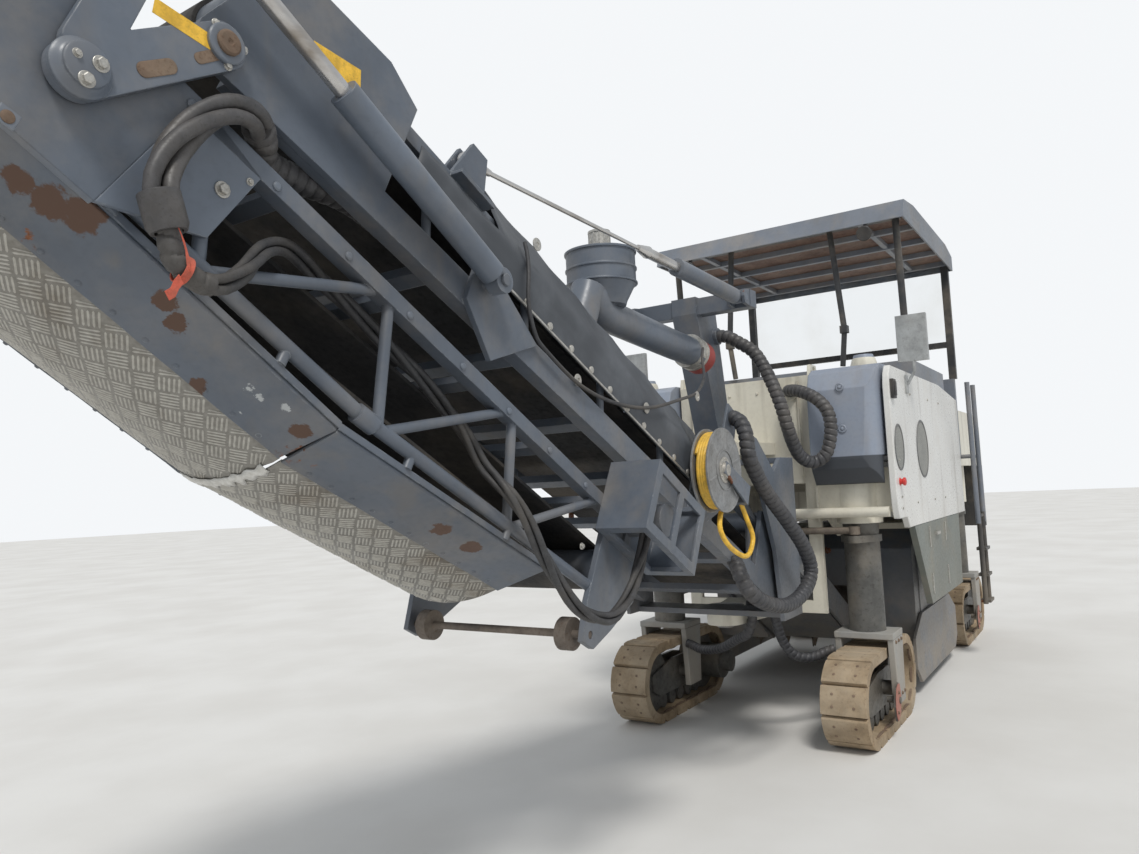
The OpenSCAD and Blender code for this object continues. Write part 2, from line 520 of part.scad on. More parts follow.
// Clear half width between the rope's lugs
lug_y = 22;
rope_xz = inner_xz(rope_pin);
luff_dir = [rope_xz[0] - head[0], rope_xz[1] - head[2]];
luff_len = norm(luff_dir);
luff_ang = atan2(luff_dir[1], luff_dir[0]);
module on_luff() translate([head[0], 0, head[2]]) rotate([0, -luff_ang, 0]) children();
module luff_barrels() color(steel) place() on_luff() for (s = [-1, 1]) translate([0, s * head[1], 0]) {
    rotate([90, 0, 0]) cylinder(d = 70, h = 60, center = true);
    rotate([90, 0, 0]) cylinder(d = 40, h = 112, center = true);
    rotate([0, 90, 0]) cylinder(d = 56, h = 70);
    rotate([0, 90, 0]) translate([0, 0, 60]) difference() {
        cylinder(d = 90, h = 730);
        translate([0, 0, 30]) cylinder(d = 50.1, h = 730);
    }
}
module luff_rods() color(silver) place() on_luff() for (s = [-1, 1]) translate([0, s * head[1], 0]) {
    rotate([0, 90, 0]) {
        translate([0, 0, 400]) cylinder(d = 50, h = 700);
        translate([0, 0, 1095]) cylinder(d1 = 60, d2 = 30, h = 90);
        translate([0, 0, 1180]) cylinder(d = 18, h = luff_len - 1280);
        translate([0, 0, luff_len - 110]) cylinder(d1 = 24, d2 = 44, h = 70);
    }
    translate([luff_len, 0, 0]) rotate([90, 0, 0]) {
        cylinder(d = 84, h = 34, center = true);
        cylinder(d = 38, h = 2 * lug_y - 0.6, center = true);
    }
}

// Inner section
module inner_section() color(steel) place() on_inner() {
    l = inner_l;
    c = -128;
    for (s = [-1, 1]) {
        // Lower channel, upper rail and the struts between them
        side(s * (chord_y - 30), 60) polygon([[60, c - 50], [l - 60, c - 50], [l - 60, c + 50], [60, c + 50]]);
        side(s * (chord_y - 75), 50) polygon([[300, rail_v - 50], [l - 300, rail_v - 50], [l - 300, rail_v], [300, rail_v]]);
        for (x = [400:550:l - 600]) bar([x, s * (chord_y - 43), c + 40], [x + 110, s * (chord_y - 43), rail_v - 44], 30);
        for (x = [330, l - 500]) box([x, min(s * 360, s * (chord_y - 10)), rail_v - 45], [x + 50, max(s * 360, s * (chord_y - 10)), rail_v - 5]);
        // Foot plate with the luff pivot
        side(s * (chord_y - 12), 24) difference() {
            polygon([[-90, c + 38], [-30, c - 30], [60, c - 48], [420, c - 48], [420, 240], [300, 250], [60, 90], [-90, 80]]);
            circle(d = 70.1);
        }
        // End plate with the fold pins
        side(s * (chord_y - 12), 24) difference() {
            polygon([[l - 560, c - 50], [l + 10, c - 54], [l + 60, c - 30], [l + 60, c + 30], [l - 40, 260], [l - 420, 300], [l - 560, 250]]);
            translate(fold_pin) circle(d = 60.1);
        }
        // Bracket of the fold cylinder
        side(s * (chord_y + 10), 20) polygon([[barrel_pin[0] - 120, c - 160], [barrel_pin[0] + 60, c - 40], [barrel_pin[0] + 60, barrel_pin[1] + 50], [barrel_pin[0] - 60, barrel_pin[1] + 60], [barrel_pin[0] - 320, c + 30]]);
        pin_y(barrel_pin[0], s * (chord_y + 55), barrel_pin[1], 40, 110);
        // Lug of the rope
        for (e = [-1, 1]) side(s * head[1] + e * (lug_y + 8), 16) polygon([[rope_pin[0] - 90, 230], [rope_pin[0] + 90, 230],
            [rope_pin[0] + 40, rope_pin[1] + 40], [rope_pin[0] - 40, rope_pin[1] + 40]]);
        box([rope_pin[0] - 90, min(s * 320, s * (chord_y - 1)), rail_v - 14], [rope_pin[0] + 90, max(s * 320, s * (chord_y - 1)), rail_v]);
    }
    // Cross members and the end drums, each welded in between the sides
    for (x = [200:480:l - 400]) box([x, -chord_y + 60.3, c - 40], [x + 60, chord_y - 60.3, c - 4]);
    for (x = [0, l - 60]) pin_y(x, 0, 40, 180, conv_w - 48.6);
}
module reel_bracket() color(steel) place() on_inner() {
    // Axle and bracket of the hose reel
    pin_y(reel[0], chord_y + 73.8, reel[1], 40, 154.4);
    side(chord_y + 6.3, 12) polygon([[940, 245], [1300, 245], [1300, -170], [1150, -170], [940, 20]]);
    side(chord_y + 146, 10) polygon([reel + [30, 30], reel + [30, -30], reel + [-270, -60], reel + [-270, 40]]);
    box([reel[0] - 270, chord_y + 1, reel[1] - 60], [reel[0] - 240, chord_y + 151, reel[1] + 40]);
    // Bracket where the conveyor's hoses leave it
    side(chord_y + 6.3, 12) polygon([[900, 205], [1060, 205], [1040, 570], [920, 570]]);
}
module inner_belt() color(dark) place() on_inner() {
    l = inner_l - 60;
    side(0, belt_w) difference() {
        hull() { translate([0, 40]) circle(d = 204); translate([l, 40]) circle(d = 204); }
        hull() { translate([0, 40]) circle(d = 180.6); translate([l, 40]) circle(d = 180.6); }
    }
}
// Tarpaulin: height of its top and of the bend in its side, and the half width of its top
cover_top = 420;
cover_bend = 165;
cover_half = 300;
cover_t = 8;
// Five strips of tarpaulin round the belt: the top, two slopes and two sides, creased between them
module cover_part(x, l, y, low) translate([x, 0, 0]) rotate([90, 0, 90]) linear_extrude(l) {
    a = [y, cover_bend];
    b = [cover_half, cover_top];
    in_a = a - [cover_t, cover_t * 0.3];
    in_b = b - [cover_t * 0.6, cover_t];
    crease = 0.3 * (b - a) / norm(b - a);
    polygon([b, in_b, [-in_b[0], in_b[1]], [-b[0], b[1]]]);
    for (s = [-1, 1]) {
        polygon([for (p = [a + crease, b - crease, in_b - crease, in_a + crease]) [s * p[0], p[1]]]);
        polygon([for (p = [a, in_a, [y - cover_t, low], [y, low]]) [s * p[0], p[1]]]);
    }
}
module inner_cover() color(dark) place() on_inner() {
    cover_part(480, cover_x - 480.3, chord_y - 0.3, cover_bend - 20);
    cover_part(cover_x, rope_pin[0] - 140 - cover_x, chord_y + cover_t + 0.3, 0);
    sides(chord_y + 0.3 + cover_t / 2, cover_t) polygon([[rope_pin[0] - 139.7, 0], [rope_pin[0] + 260, 0], [rope_pin[0] + 260, cover_bend], [rope_pin[0] - 139.7, cover_bend]]);
}
module dust_fan() color(steel) place() on_inner() {
    f = [1929, 140, 834];
    translate(f) rotate([0, inner_tilt, 0]) {
        cylinder(d = 336, h = 160, center = true);
        translate([0, 0, 70]) cylinder(d = 120, h = 120);
        translate([0, 0, -180]) cylinder(d1 = 230, d2 = 320, h = 105);
    }
    bar([f[0] + 60, f[1], cover_top + 0.3], [f[0] + 60, f[1], f[2] - 160], 150);
    bar([f[0] - 20, f[1], f[2] - 190], [1010, f[1] + 30, 960], 190);
    bar([1020, f[1] + 30, 958], [850, f[1] + 40, 1000], 180);
}

// Fold gear
module on_fold_barrel() translate([barrel_pin[0], 0, barrel_pin[1]]) rotate([0, -atan2(eye_pin[1] - barrel_pin[1], eye_pin[0] - barrel_pin[0]), 0]) children();
fold_len = norm(eye_pin - barrel_pin);
fold_y = chord_y + 75;
module fold_barrels() color(steel) place() on_inner() on_fold_barrel() for (s = [-1, 1]) translate([0, s * fold_y, 0]) {
    rotate([90, 0, 0]) difference() {
        cylinder(d = 84, h = 50, center = true);
        cylinder(d = 40.1, h = 60, center = true);
    }
    rotate([0, 90, 0]) translate([0, 0, 38]) difference() {
        cylinder(d = 84, h = 700);
        translate([0, 0, 50]) cylinder(d = 46.1, h = 700);
    }
}
module fold_rods() color(silver) place() on_inner() on_fold_barrel() for (s = [-1, 1]) translate([0, s * fold_y, 0]) {
    rotate([0, 90, 0]) translate([0, 0, 490]) cylinder(d = 46, h = fold_len - 520);
    translate([fold_len, 0, 0]) rotate([90, 0, 0]) {
        cylinder(d = 84, h = 40, center = true);
        translate([0, 0, s * (fold_y - chord_y - 32.3) / 2]) cylinder(d = 50, h = fold_y - chord_y - 32.3, center = true);
    }
}
module fold_arms() color(steel) place() on_inner() for (s = [-1, 1]) {
    y = s * (chord_y + 20);
    side(y, 24) difference() {
        hull() { translate(fold_pin) circle(d = 110); translate(swing_pin) circle(d = 120); }
        translate(swing_pin) circle(d = 60.1);
    }
    side(y, 24) difference() {
        hull() { translate(eye_pin) circle(d = 90); translate(swing_pin + [10, 60]) circle(d = 100); }
        translate(swing_pin) circle(d = 60.1);
    }
    pin_y(fold_pin[0], s * (chord_y - 4), fold_pin[1], 60, 64);
}

// Outer section: bent upper tube [along, height] and the two parts of the lid, from [along, height] to [along, height]
chord = [[-40, 112], [1000, 190], [outer_l - 60, 155]];
lid_ends = [[[-cover_back, lip_back], lid_split], [lid_split + [1, 4], lid_end]];
function chord_z(x) = x < chord[1][0] ? chord[0][1] + (chord[1][1] - chord[0][1]) * (x - chord[0][0]) / (chord[1][0] - chord[0][0])
    : chord[1][1] + (chord[2][1] - chord[1][1]) * (x - chord[1][0]) / (chord[2][0] - chord[1][0]);
function lip_l(e) = norm(e[1] - e[0]);
module on_lip(e) translate([e[0][0], 0, e[0][1]]) rotate([0, -atan2(e[1][1] - e[0][1], e[1][0] - e[0][0]), 0]) children();
module outer_section() color(steel) place() on_outer() {
    l = outer_l;
    za = -165;
    zb = 165;
    for (s = [-1, 1]) {
        y = s * (chord_y - 25);
        bar([chord[0][0], y, chord[0][1]], [chord[1][0] - 10, y, chord_z(chord[1][0] - 10)], tube_d);
        bar([chord[1][0] + 10, y, chord_z(chord[1][0] + 10)], [chord[2][0], y, chord[2][1]], tube_d);
        // Clamp over the bend of the tube
        pin_x(chord[1][0], y, chord[1][1], tube_d + 16, 70);
        // Rails that the lid rests on, and their posts
        for (e = lid_ends) on_lip(e) 
            box([0, min(s * (lip_y + 6), s * (lip_y - 28)), -20.3], [lip_l(e), max(s * (lip_y + 6), s * (lip_y - 28)), -0.3]);
        for (x = [200, 700, 1200, 1700]) bar([x, y, chord_z(x)], [x, y, chord_z(x) + 50], 30);
        side(y, 50) polygon([[-100, za - 25], [l - 60, za - 25], [l - 60, za + 25], [-100, za + 25]]);
        for (i = [0:2]) {
            bar([280 + i * 640, y, za], [410 + i * 640, y, chord_z(410 + i * 640)], tube_d - 8);
            bar([430 + i * 640, y, chord_z(430 + i * 640)], [880 + i * 640, y, za], tube_d - 10);
        }
        side(s * (chord_y - 12), 24) difference() {
            polygon([[-110, za - 25], [220, za - 25], [160, zb + 30], [-150, zb + 10], [-180, 100], [-180, -80]]);
        }
        side(s * (chord_y - 12), 24) difference() {
            polygon([[l - 260, za - 25], [l + 60, za - 25], [l + 60, zb - 60], [l - 60, zb + 100], [l - 150, 370], [l - 230, 370], [l - 260, zb + 60]]);
            translate([l - 190, 330]) circle(d = 30.1);
        }
        pin_y(0, s * (chord_y + 8), 0, 60, 60);
    }
    for (x = [60:420:l - 300]) box([x, -chord_y + 40, za - 20], [x + 50, chord_y - 40, za + 10]);
    for (x = [-120, l - 40]) pin_y(x, 0, 0, 150, conv_w - 48);
}
// Outline of the arched lid between its edges, t above its inner face
function arch(w, z, t) = [for (i = [0:12]) let (y = w * (1 - i / 6)) [y, z + lid_rise * (1 - (y / w) * (y / w)) + t]];
module outer_cover() color(silver) place() on_outer() for (e = lid_ends) on_lip(e) rotate([90, 0, 90]) linear_extrude(lip_l(e)) difference() {
    polygon(concat([[lip_y, 0]], arch(lid_half, lid_z, 0), [[-lip_y, 0]]));
    polygon(concat([[lip_y - 14, -1]], arch(lid_half - 4, lid_z, -8), [[-lip_y + 14, -1]]));
}
module outer_belt() color(dark) place() on_outer() {
    l = outer_l - 40;
    side(0, belt_w) difference() {
        hull() { translate([-120, 0]) circle(d = 174); translate([l, 0]) circle(d = 174); }
        hull() { translate([-120, 0]) circle(d = 150.6); translate([l, 0]) circle(d = 150.6); }
    }
}
module drive_guard() color(steel) place() on_outer() {
    y0 = chord_y;
    difference() {
        box([outer_l - 320, y0, -330], [outer_l + 120, y0 + 220, -40]);
        box([outer_l - 300, y0 + 12, -310], [outer_l + 100, y0 + 208, -60]);
        for (x = [outer_l - 280, outer_l - 80]) box([x, y0 - 1, -290], [x + 160, y0 + 230, -80]);
        box([outer_l - 280, y0 + 40, -340], [outer_l + 80, y0 + 190, -20]);
    }
    pin_y(outer_l - 100, y0 + 90, -180, 130, 170);
}
module support_wheels() color(steel) place() on_outer() {
    pin_y(outer_l - 190, 0, 330, 30, conv_w - 8);
    for (s = [-1, 1]) pin_y(outer_l - 190, s * 350, 330, 124, 50);
}
module hose_reel() color([0.85, 0.7, 0.2]) place() on_inner() translate([reel[0], chord_y + 90, reel[1]]) rotate([90, 0, 0]) {
    difference() {
        union() {
            cylinder(d = 250, h = 76, center = true);
            for (s = [-1, 1]) translate([0, 0, s * 38]) cylinder(d = reel_d, h = 10, center = true);
        }
        cylinder(d = 40.1, h = 100, center = true);
    }
}

// Hoses: a smooth curve through hand-set points, and a tube along it
function curve_at(p, i, t) = let (a = p[max(i - 1, 0)], b = p[i], c = p[i + 1], d = p[min(i + 2, len(p) - 1)])
    0.5 * (2 * b + (c - a) * t + (2 * a - 5 * b + 4 * c - d) * t * t + (3 * b - a - 3 * c + d) * t * t * t);
function smooth(p, n) = concat([for (i = [0:len(p) - 2], k = [0:n - 1]) curve_at(p, i, k / n)], [p[len(p) - 1]]);
// side_of is any direction that the hose never runs along
module hose(p, d, side_of = [1, 1, 1], steps = 4) {
    c = smooth(p, steps);
    m = len(c);
    n = 10;
    polyhedron([for (i = [0:m - 1])
        let (t = c[min(i + 1, m - 1)] - c[max(i - 1, 0)], a = cross(t, side_of), e = a / norm(a), g = cross(t, e) / norm(t))
            for (k = [0:n - 1]) c[i] + d / 2 * (e * cos(360 * k / n) + g * sin(360 * k / n))],
        concat([[for (k = [0:n - 1]) n - 1 - k]], [[for (k = [0:n - 1]) (m - 1) * n + k]],
            [for (i = [0:m - 2], k = [0:n - 1]) [i * n + k, i * n + (k + 1) % n, (i + 1) * n + k]],
            [for (i = [0:m - 2], k = [0:n - 1]) [i * n + (k + 1) % n, (i + 1) * n + (k + 1) % n, (i + 1) * n + k]]));
}
module conveyor_hose() color(dark) place() hose(conveyor_route, wrap_d);
module tank_hose() color(dark) place() hose(tank_route, wrap_d);
module track_hoses() color(dark) place() {
    hose(left_route, hose_d);
    hose(right_route, hose_d, [1, -1, 1]);
}
module fold_hoses() color(dark) place() on_inner() hose(fold_route, wrap_d);
module outer_hoses() color(dark) place() on_outer() hose(outer_route, hose_d - 8, [1, -1, 1], 3);
module reel_hose() color([0.85, 0.7, 0.2]) place() hose(reel_route, water_d, [0, 1, 0]);

main_frame();
drum_housing();
side_plate(1);  // side_plate_left
side_plate(-1);  // side_plate_right
scraper_blade();
milling_drum();
engine();
engine_hood();
rear_grille();
both_sides() tank_cover();  // tank_covers
both_sides() side_panel();  // side_panels
operator_platform();
control_console();
canopy_frame();
canopy_roof();
rear_window();
ladder(1);  // ladder_left
ladder(-1);  // ladder_right
both_sides() mirror_arm();  // mirrors
column_at(0, half_gauge, 1);  // column_front_left
column_at(0, -half_gauge, -1);  // column_front_right
column_at(rear_x, half_gauge, 1);  // column_rear_left
column_at(rear_x, -half_gauge, -1);  // column_rear_right
track_at(0, half_gauge);  // track_front_left
track_at(0, -half_gauge);  // track_front_right
track_at(rear_x, half_gauge);  // track_rear_left
track_at(rear_x, -half_gauge);  // track_rear_right
tie_rod_at(0);  // tie_rod_front
tie_rod_at(rear_x);  // tie_rod_rear
receiving_conveyor();
slew_mast();
luff_barrels();
luff_rods();
inner_section();
inner_belt();
inner_cover();
dust_fan();
fold_barrels();
fold_rods();
fold_arms();
outer_section();
outer_cover();
outer_belt();
drive_guard();
support_wheels();
hose_reel();
reel_bracket();
both_sides() lower_panel();  // lower_panels
conveyor_hose();
tank_hose();
track_hoses();
fold_hoses();
outer_hoses();
reel_hose();
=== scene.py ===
import json
from math import atan2, cos, degrees, dist, hypot, pi, radians, sin, sqrt, tau

import bmesh
import bpy
from mathutils import Matrix, Vector, noise

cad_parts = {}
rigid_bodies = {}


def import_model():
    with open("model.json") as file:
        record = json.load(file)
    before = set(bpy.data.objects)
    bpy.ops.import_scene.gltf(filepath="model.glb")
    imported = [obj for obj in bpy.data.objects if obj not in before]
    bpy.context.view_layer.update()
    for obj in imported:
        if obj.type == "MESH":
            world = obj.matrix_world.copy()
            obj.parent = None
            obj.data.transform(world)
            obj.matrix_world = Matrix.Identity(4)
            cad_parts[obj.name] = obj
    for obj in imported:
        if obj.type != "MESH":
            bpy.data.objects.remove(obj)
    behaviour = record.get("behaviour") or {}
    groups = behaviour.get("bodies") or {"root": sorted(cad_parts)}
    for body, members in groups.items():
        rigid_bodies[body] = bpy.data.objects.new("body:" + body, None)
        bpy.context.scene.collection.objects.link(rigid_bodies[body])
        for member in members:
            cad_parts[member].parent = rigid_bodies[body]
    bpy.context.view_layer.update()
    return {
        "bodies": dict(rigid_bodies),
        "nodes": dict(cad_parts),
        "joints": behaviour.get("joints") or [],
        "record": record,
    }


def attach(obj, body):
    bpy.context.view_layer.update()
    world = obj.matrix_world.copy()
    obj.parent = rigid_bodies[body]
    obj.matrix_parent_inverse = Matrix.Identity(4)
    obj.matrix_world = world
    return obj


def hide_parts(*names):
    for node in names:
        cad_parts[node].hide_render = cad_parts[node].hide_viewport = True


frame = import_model()
nodes = frame["nodes"]
scene = bpy.context.scene


# Sizes of the part's source, in millimetres and degrees, from the front lifting columns
MIDDLE_X = 434.182
HALF_GAUGE, REAR_X = 700, -3360
TRACK_Z, TRACK_AXLES, SHOE_N = 264, 800, 18
# Radius of the line through the middle of the shoes
SHOE_R = 243
# Inner and outer face of a side panel, and its pieces' seat
PANEL_IN, PANEL_OUT, PANEL_SEAT = 940, 980, 979
INNER_TILT, OUTER_TILT = 26.5, 29.5
LUFF_X, LUFF_Z = 800, 1025
# Fold and swing pins, in the inner section's own frame
FOLD_X, FOLD_Z = 3945, -138
SWING_X, SWING_Z = 4153, -456
SIDES = ((1, "left"), (-1, "right"))
TRACKS = (("front_left", 0, HALF_GAUGE), ("front_right", 0, -HALF_GAUGE),
          ("rear_left", REAR_X, HALF_GAUGE), ("rear_right", REAR_X, -HALF_GAUGE))


# Drawing frames of that source: its millimetres in, Blender's metres out
def turned(x, z, angle):
    a = radians(angle)
    c, s = cos(a), sin(a)
    return Matrix(((c, 0, s, x), (0, 1, 0, 0), (-s, 0, c, z), (0, 0, 0, 1)))


MACHINE = Matrix.Scale(0.001, 4) @ Matrix.Translation((-MIDDLE_X, 0, 0))
INNER = MACHINE @ turned(LUFF_X, LUFF_Z, -INNER_TILT)
SWING = turned(LUFF_X, LUFF_Z, -INNER_TILT) @ Vector((SWING_X, 0, SWING_Z))
OUTER = MACHINE @ turned(SWING.x, SWING.z, 180 - OUTER_TILT)
DRAWN_IN = {"inner_conveyor": INNER, "fold_links": INNER, "reel": INNER, "outer_conveyor": OUTER}


# Materials
class Graph:
    """A material's nodes, with sockets or plain values as inputs."""

    def __init__(self, name):
        self.material = bpy.data.materials.new(name)
        self.material.use_nodes = True
        self.tree = self.material.node_tree
        self.bsdf = self.tree.nodes["Principled BSDF"]
        self.place = self.node("ShaderNodeTexCoord").outputs["Object"]

    def node(self, kind, inputs=(), **props):
        made = self.tree.nodes.new(kind)
        for key, value in props.items():
            setattr(made, key, value)
        for key, value in dict(inputs).items():
            if isinstance(value, bpy.types.NodeSocket):
                self.tree.links.new(value, made.inputs[key])
            else:
                made.inputs[key].default_value = value
        return made

    def noise(self, scale, detail=5.0, rough=0.55, stretch=None, warp=0.0):
        at = self.place
        if stretch:
            at = self.node("ShaderNodeVectorMath", {0: at, 1: stretch}, operation="MULTIPLY").outputs[0]
        inputs = {"Vector": at, "Scale": scale, "Detail": detail, "Roughness": rough, "Distortion": warp}
        return self.node("ShaderNodeTexNoise", inputs).outputs[0]

    def range(self, value, low, high, to_low=0.0, to_high=1.0):
        inputs = {"Value": value, "From Min": low, "From Max": high, "To Min": to_low, "To Max": to_high}
        return self.node("ShaderNodeMapRange", inputs, interpolation_type="SMOOTHSTEP").outputs[0]

    def math(self, operation, a, b=0.0):
        return self.node("ShaderNodeMath", {0: a, 1: b}, operation=operation).outputs[0]

    def times(self, a, b):
        return self.math("MULTIPLY", a, b)

    def mix(self, share, a, b):
        made = self.node("ShaderNodeMix", {0: share}, data_type="RGBA")
        for index, value in ((6, a), (7, b)):
            if isinstance(value, bpy.types.NodeSocket):
                self.tree.links.new(value, made.inputs[index])
            else:
                made.inputs[index].default_value = (*value, 1.0)
        return made.outputs[2]

    def height(self):
        return self.node("ShaderNodeSeparateXYZ", {0: self.place}).outputs[2]

    def edges(self, radius):
        """The normal with its edges rounded, and a mask of the edges."""
        normal = self.node("ShaderNodeBevel", {"Radius": radius}, samples=4).outputs[0]
        flat = self.node("ShaderNodeNewGeometry").outputs["Normal"]
        dot = self.node("ShaderNodeVectorMath", {0: normal, 1: flat}, operation="DOT_PRODUCT").outputs["Value"]
        return normal, self.range(dot, 0.995, 0.9)

    def finish(self, colour, rough, bump=None, normal=None, strength=0.3, depth=0.002, metal=0.0):
        links = self.tree.links
        self.bsdf.inputs["Metallic"].default_value = metal
        links.new(colour, self.bsdf.inputs["Base Color"])
        if isinstance(rough, float):
            self.bsdf.inputs["Roughness"].default_value = rough
        else:
            links.new(rough, self.bsdf.inputs["Roughness"])
        if bump:
            inputs = {"Height": bump, "Strength": strength, "Distance": depth}
            if normal:
                inputs["Normal"] = normal
            normal = self.node("ShaderNodeBump", inputs).outputs[0]
        if normal:
            links.new(normal, self.bsdf.inputs["Normal"])
        return self.material


RUST = (0.16, 0.062, 0.028)
DUST = (0.42, 0.35, 0.26)


def tone(colour, by):
    return tuple(min(1.0, c * by) for c in colour)


def paint(name, colour, rough=0.45, shade=0.14, dust=0.25, low=0.0, rust=0.3, wear=0.5,
          bare=(0.34, 0.36, 0.38), streak=0.2, radius=0.005, marks=(), band=None):
    """Weathered paint: blotches, streaks, dust, rust patches, worn edges, marks, and another tint below a level."""
    g = Graph(name)
    big, fine = g.noise(1.7, 6.0, 0.6), g.noise(46.0, 4.0)
    c = g.mix(g.range(big, 0.32, 0.68), tone(colour, 1 - shade), tone(colour, 1 + shade))
    c = g.mix(g.times(g.range(fine, 0.45, 0.75), 0.16), c, tone(colour, 0.62))
    run = g.noise(9.0, 3.0, 0.5, (1.0, 1.0, 0.12))
    c = g.mix(g.times(g.range(run, 0.52, 0.72), streak), c, tone(DUST, 0.45))
    film = g.times(g.range(g.noise(3.1, 7.0, 0.65), 0.42, 0.72), dust)
    if low:
        near = g.range(g.height(), 1.35, 0.15, 0.0, low)
        film = g.math("MAXIMUM", film, g.times(near, g.range(g.noise(6.0, 5.0), 0.25, 0.6, 0.35, 1.0)))
    c = g.mix(film, c, DUST)
    normal, edge = g.edges(radius)
    chip = g.times(edge, g.range(g.noise(17.0, 6.0, 0.7), 0.5, 0.6, 0.0, wear))
    c = g.mix(chip, c, bare)
    r = g.range(g.math("ADD", fine, film), 0.3, 1.3, rough - 0.08, rough + 0.25)
    if rust:
        spots = g.noise(2.6, 10.0, 0.62, None, 0.25)
        patch = g.range(spots, 0.735 - 0.13 * rust, 0.75 - 0.12 * rust)
        red = g.mix(g.range(g.noise(60.0, 4.0), 0.35, 0.65), tone(RUST, 0.6), tone(RUST, 1.35))
        c = g.mix(patch, c, red)
        r = g.math("MAXIMUM", r, g.times(patch, 0.85))
    if marks:
        uneven = g.times(g.math("SUBTRACT", g.noise(14.0, 8.0, 0.7), 0.5), 0.09)
        for x, y, z, size, tint in marks:
            away = g.node("ShaderNodeVectorMath", {0: g.place, 1: (x, y, z)}, operation="DISTANCE").outputs["Value"]
            c = g.mix(g.range(g.math("ADD", away, uneven), size, size * 0.8), c, tint)
    if band:
        level, tint = band
        c = g.mix(g.range(g.height(), level + 0.004, level - 0.004, 0.0, 0.9), c, tint)
    height = g.math("ADD", g.times(fine, 0.25), g.noise(5.0, 2.0))
    return g.finish(c, r, height, normal, 0.22, 0.0025)


def grimy(name, colour, rough=0.8, scale=12.0, dust=0.35, low=0.0, depth=0.004, metal=0.0,
          spot=(0.05, 0.045, 0.04), radius=0.004):
    """Dusty bare or greasy steel, rubber and the like."""
    g = Graph(name)
    a, b = g.noise(scale, 8.0, 0.7), g.noise(scale * 6, 4.0, 0.6)
    c = g.mix(g.range(a, 0.3, 0.7), tone(colour, 0.72), tone(colour, 1.25))
    c = g.mix(g.times(g.range(b, 0.55, 0.7), 0.5), c, spot)
    film = g.times(g.range(g.noise(2.3, 6.0, 0.6), 0.4, 0.7), dust)
    if low:
        near = g.range(g.height(), 1.1, 0.1, 0.0, low)
        film = g.math("MAXIMUM", film, g.times(near, g.range(a, 0.25, 0.55)))
    c = g.mix(film, c, DUST)
    normal, edge = g.edges(radius)
    c = g.mix(g.times(edge, 0.35), c, tone(colour, 1.7))
    uneven = g.range(b, 0.2, 0.8, rough - 0.12, min(1.0, rough + 0.12))
    return g.finish(c, uneven, g.math("ADD", a, g.times(b, 0.4)), normal, 0.5, depth, metal)


SLATE = (0.108, 0.128, 0.16)
slate = paint("slate_paint", SLATE, 0.42, rust=0.55, wear=0.7, dust=0.22, low=0.5)
slate_clean = paint("slate_paint_clean", tone(SLATE, 1.25), 0.4, rust=0.12, wear=0.6, dust=0.2)
BROWN, SCUFF = (0.085, 0.04, 0.022), (0.42, 0.44, 0.45)
# Rust patches and scuffs on the outer section's sheets: x, y, z and radius in metres
RUSTED = [(4.284, 0.36, 2.234, 0.045), (4.229, 0.388, 2.21, 0.05), (4.335, 0.348, 2.264, 0.04), (4.043, 0.366, 2.065, 0.03),
          (4.007, 0.344, 2.028, 0.028), (3.891, 0.251, 1.895, 0.03), (3.663, 0.347, 1.784, 0.035),
          (3.123, 0.333, 1.493, 0.04), (2.989, 0.34, 1.429, 0.035), (2.654, 0.374, 1.278, 0.04)]
SCUFFED = [(3.78, 0.349, 1.868, 0.014), (3.813, 0.348, 1.891, 0.012), (3.728, 0.372, 1.844, 0.012),
           (3.791, 0.275, 1.836, 0.014)]
MARKS = [(*mark, BROWN) for mark in RUSTED] + [(*mark, SCUFF) for mark in SCUFFED]
sheet = paint("slate_sheet", tone(SLATE, 0.92), 0.4, rust=0.5, dust=0.2, streak=0.3, marks=MARKS)
cream = paint("cream_paint", (0.73, 0.70, 0.60), 0.4, shade=0.05, rust=0.1, bare=(0.2, 0.11, 0.06), dust=0.22, streak=0.35)
white = paint("white_panel", (0.72, 0.72, 0.70), 0.34, shade=0.05, rust=0.05, bare=(0.25, 0.15, 0.08), dust=0.16, streak=0.3)
plastic = paint("tank_plastic", (0.27, 0.31, 0.385), 0.42, shade=0.06, rust=0.0, wear=0.3, bare=(0.45, 0.48, 0.53),
                dust=0.16, radius=0.012, band=(1.717, (0.042, 0.046, 0.052)))
dark = paint("dark_paint", (0.034, 0.036, 0.04), 0.5, rust=0.5, dust=0.3, low=0.4)
roof = paint("roof_paint", (0.17, 0.19, 0.225), 0.45, rust=0.25, wear=0.6, dust=0.3)
low_panel = paint("lower_panel", (0.16, 0.18, 0.165), 0.5, rust=0.3, wear=0.6, dust=0.3, low=0.3)
portal = paint("portal_paint", (0.30, 0.315, 0.32), 0.55, rust=0.35, wear=0.6, dust=0.45, low=0.5)
column = grimy("column_steel", (0.115, 0.115, 0.11), 0.5, 7.0, dust=0.3, depth=0.002, metal=0.35)
track = grimy("track_steel", (0.33, 0.245, 0.155), 0.86, 9.0, dust=0.75, depth=0.007, spot=(0.11, 0.075, 0.045))
worn = grimy("worn_steel", (0.16, 0.135, 0.115), 0.7, 14.0, low=0.4, metal=0.3, spot=(0.09, 0.045, 0.025))
rusty = grimy("rusty_steel", (0.17, 0.115, 0.08), 0.85, 16.0, dust=0.3, depth=0.003, spot=(0.07, 0.03, 0.018))
belt = grimy("belt_rubber", (0.028, 0.028, 0.03), 0.82, 8.0, dust=0.2, depth=0.003, spot=(0.012, 0.012, 0.013))
hose_mat = grimy("hose_rubber", (0.045, 0.046, 0.05), 0.6, 30.0, dust=0.14, depth=0.001, spot=(0.02, 0.02, 0.021), radius=0.002)
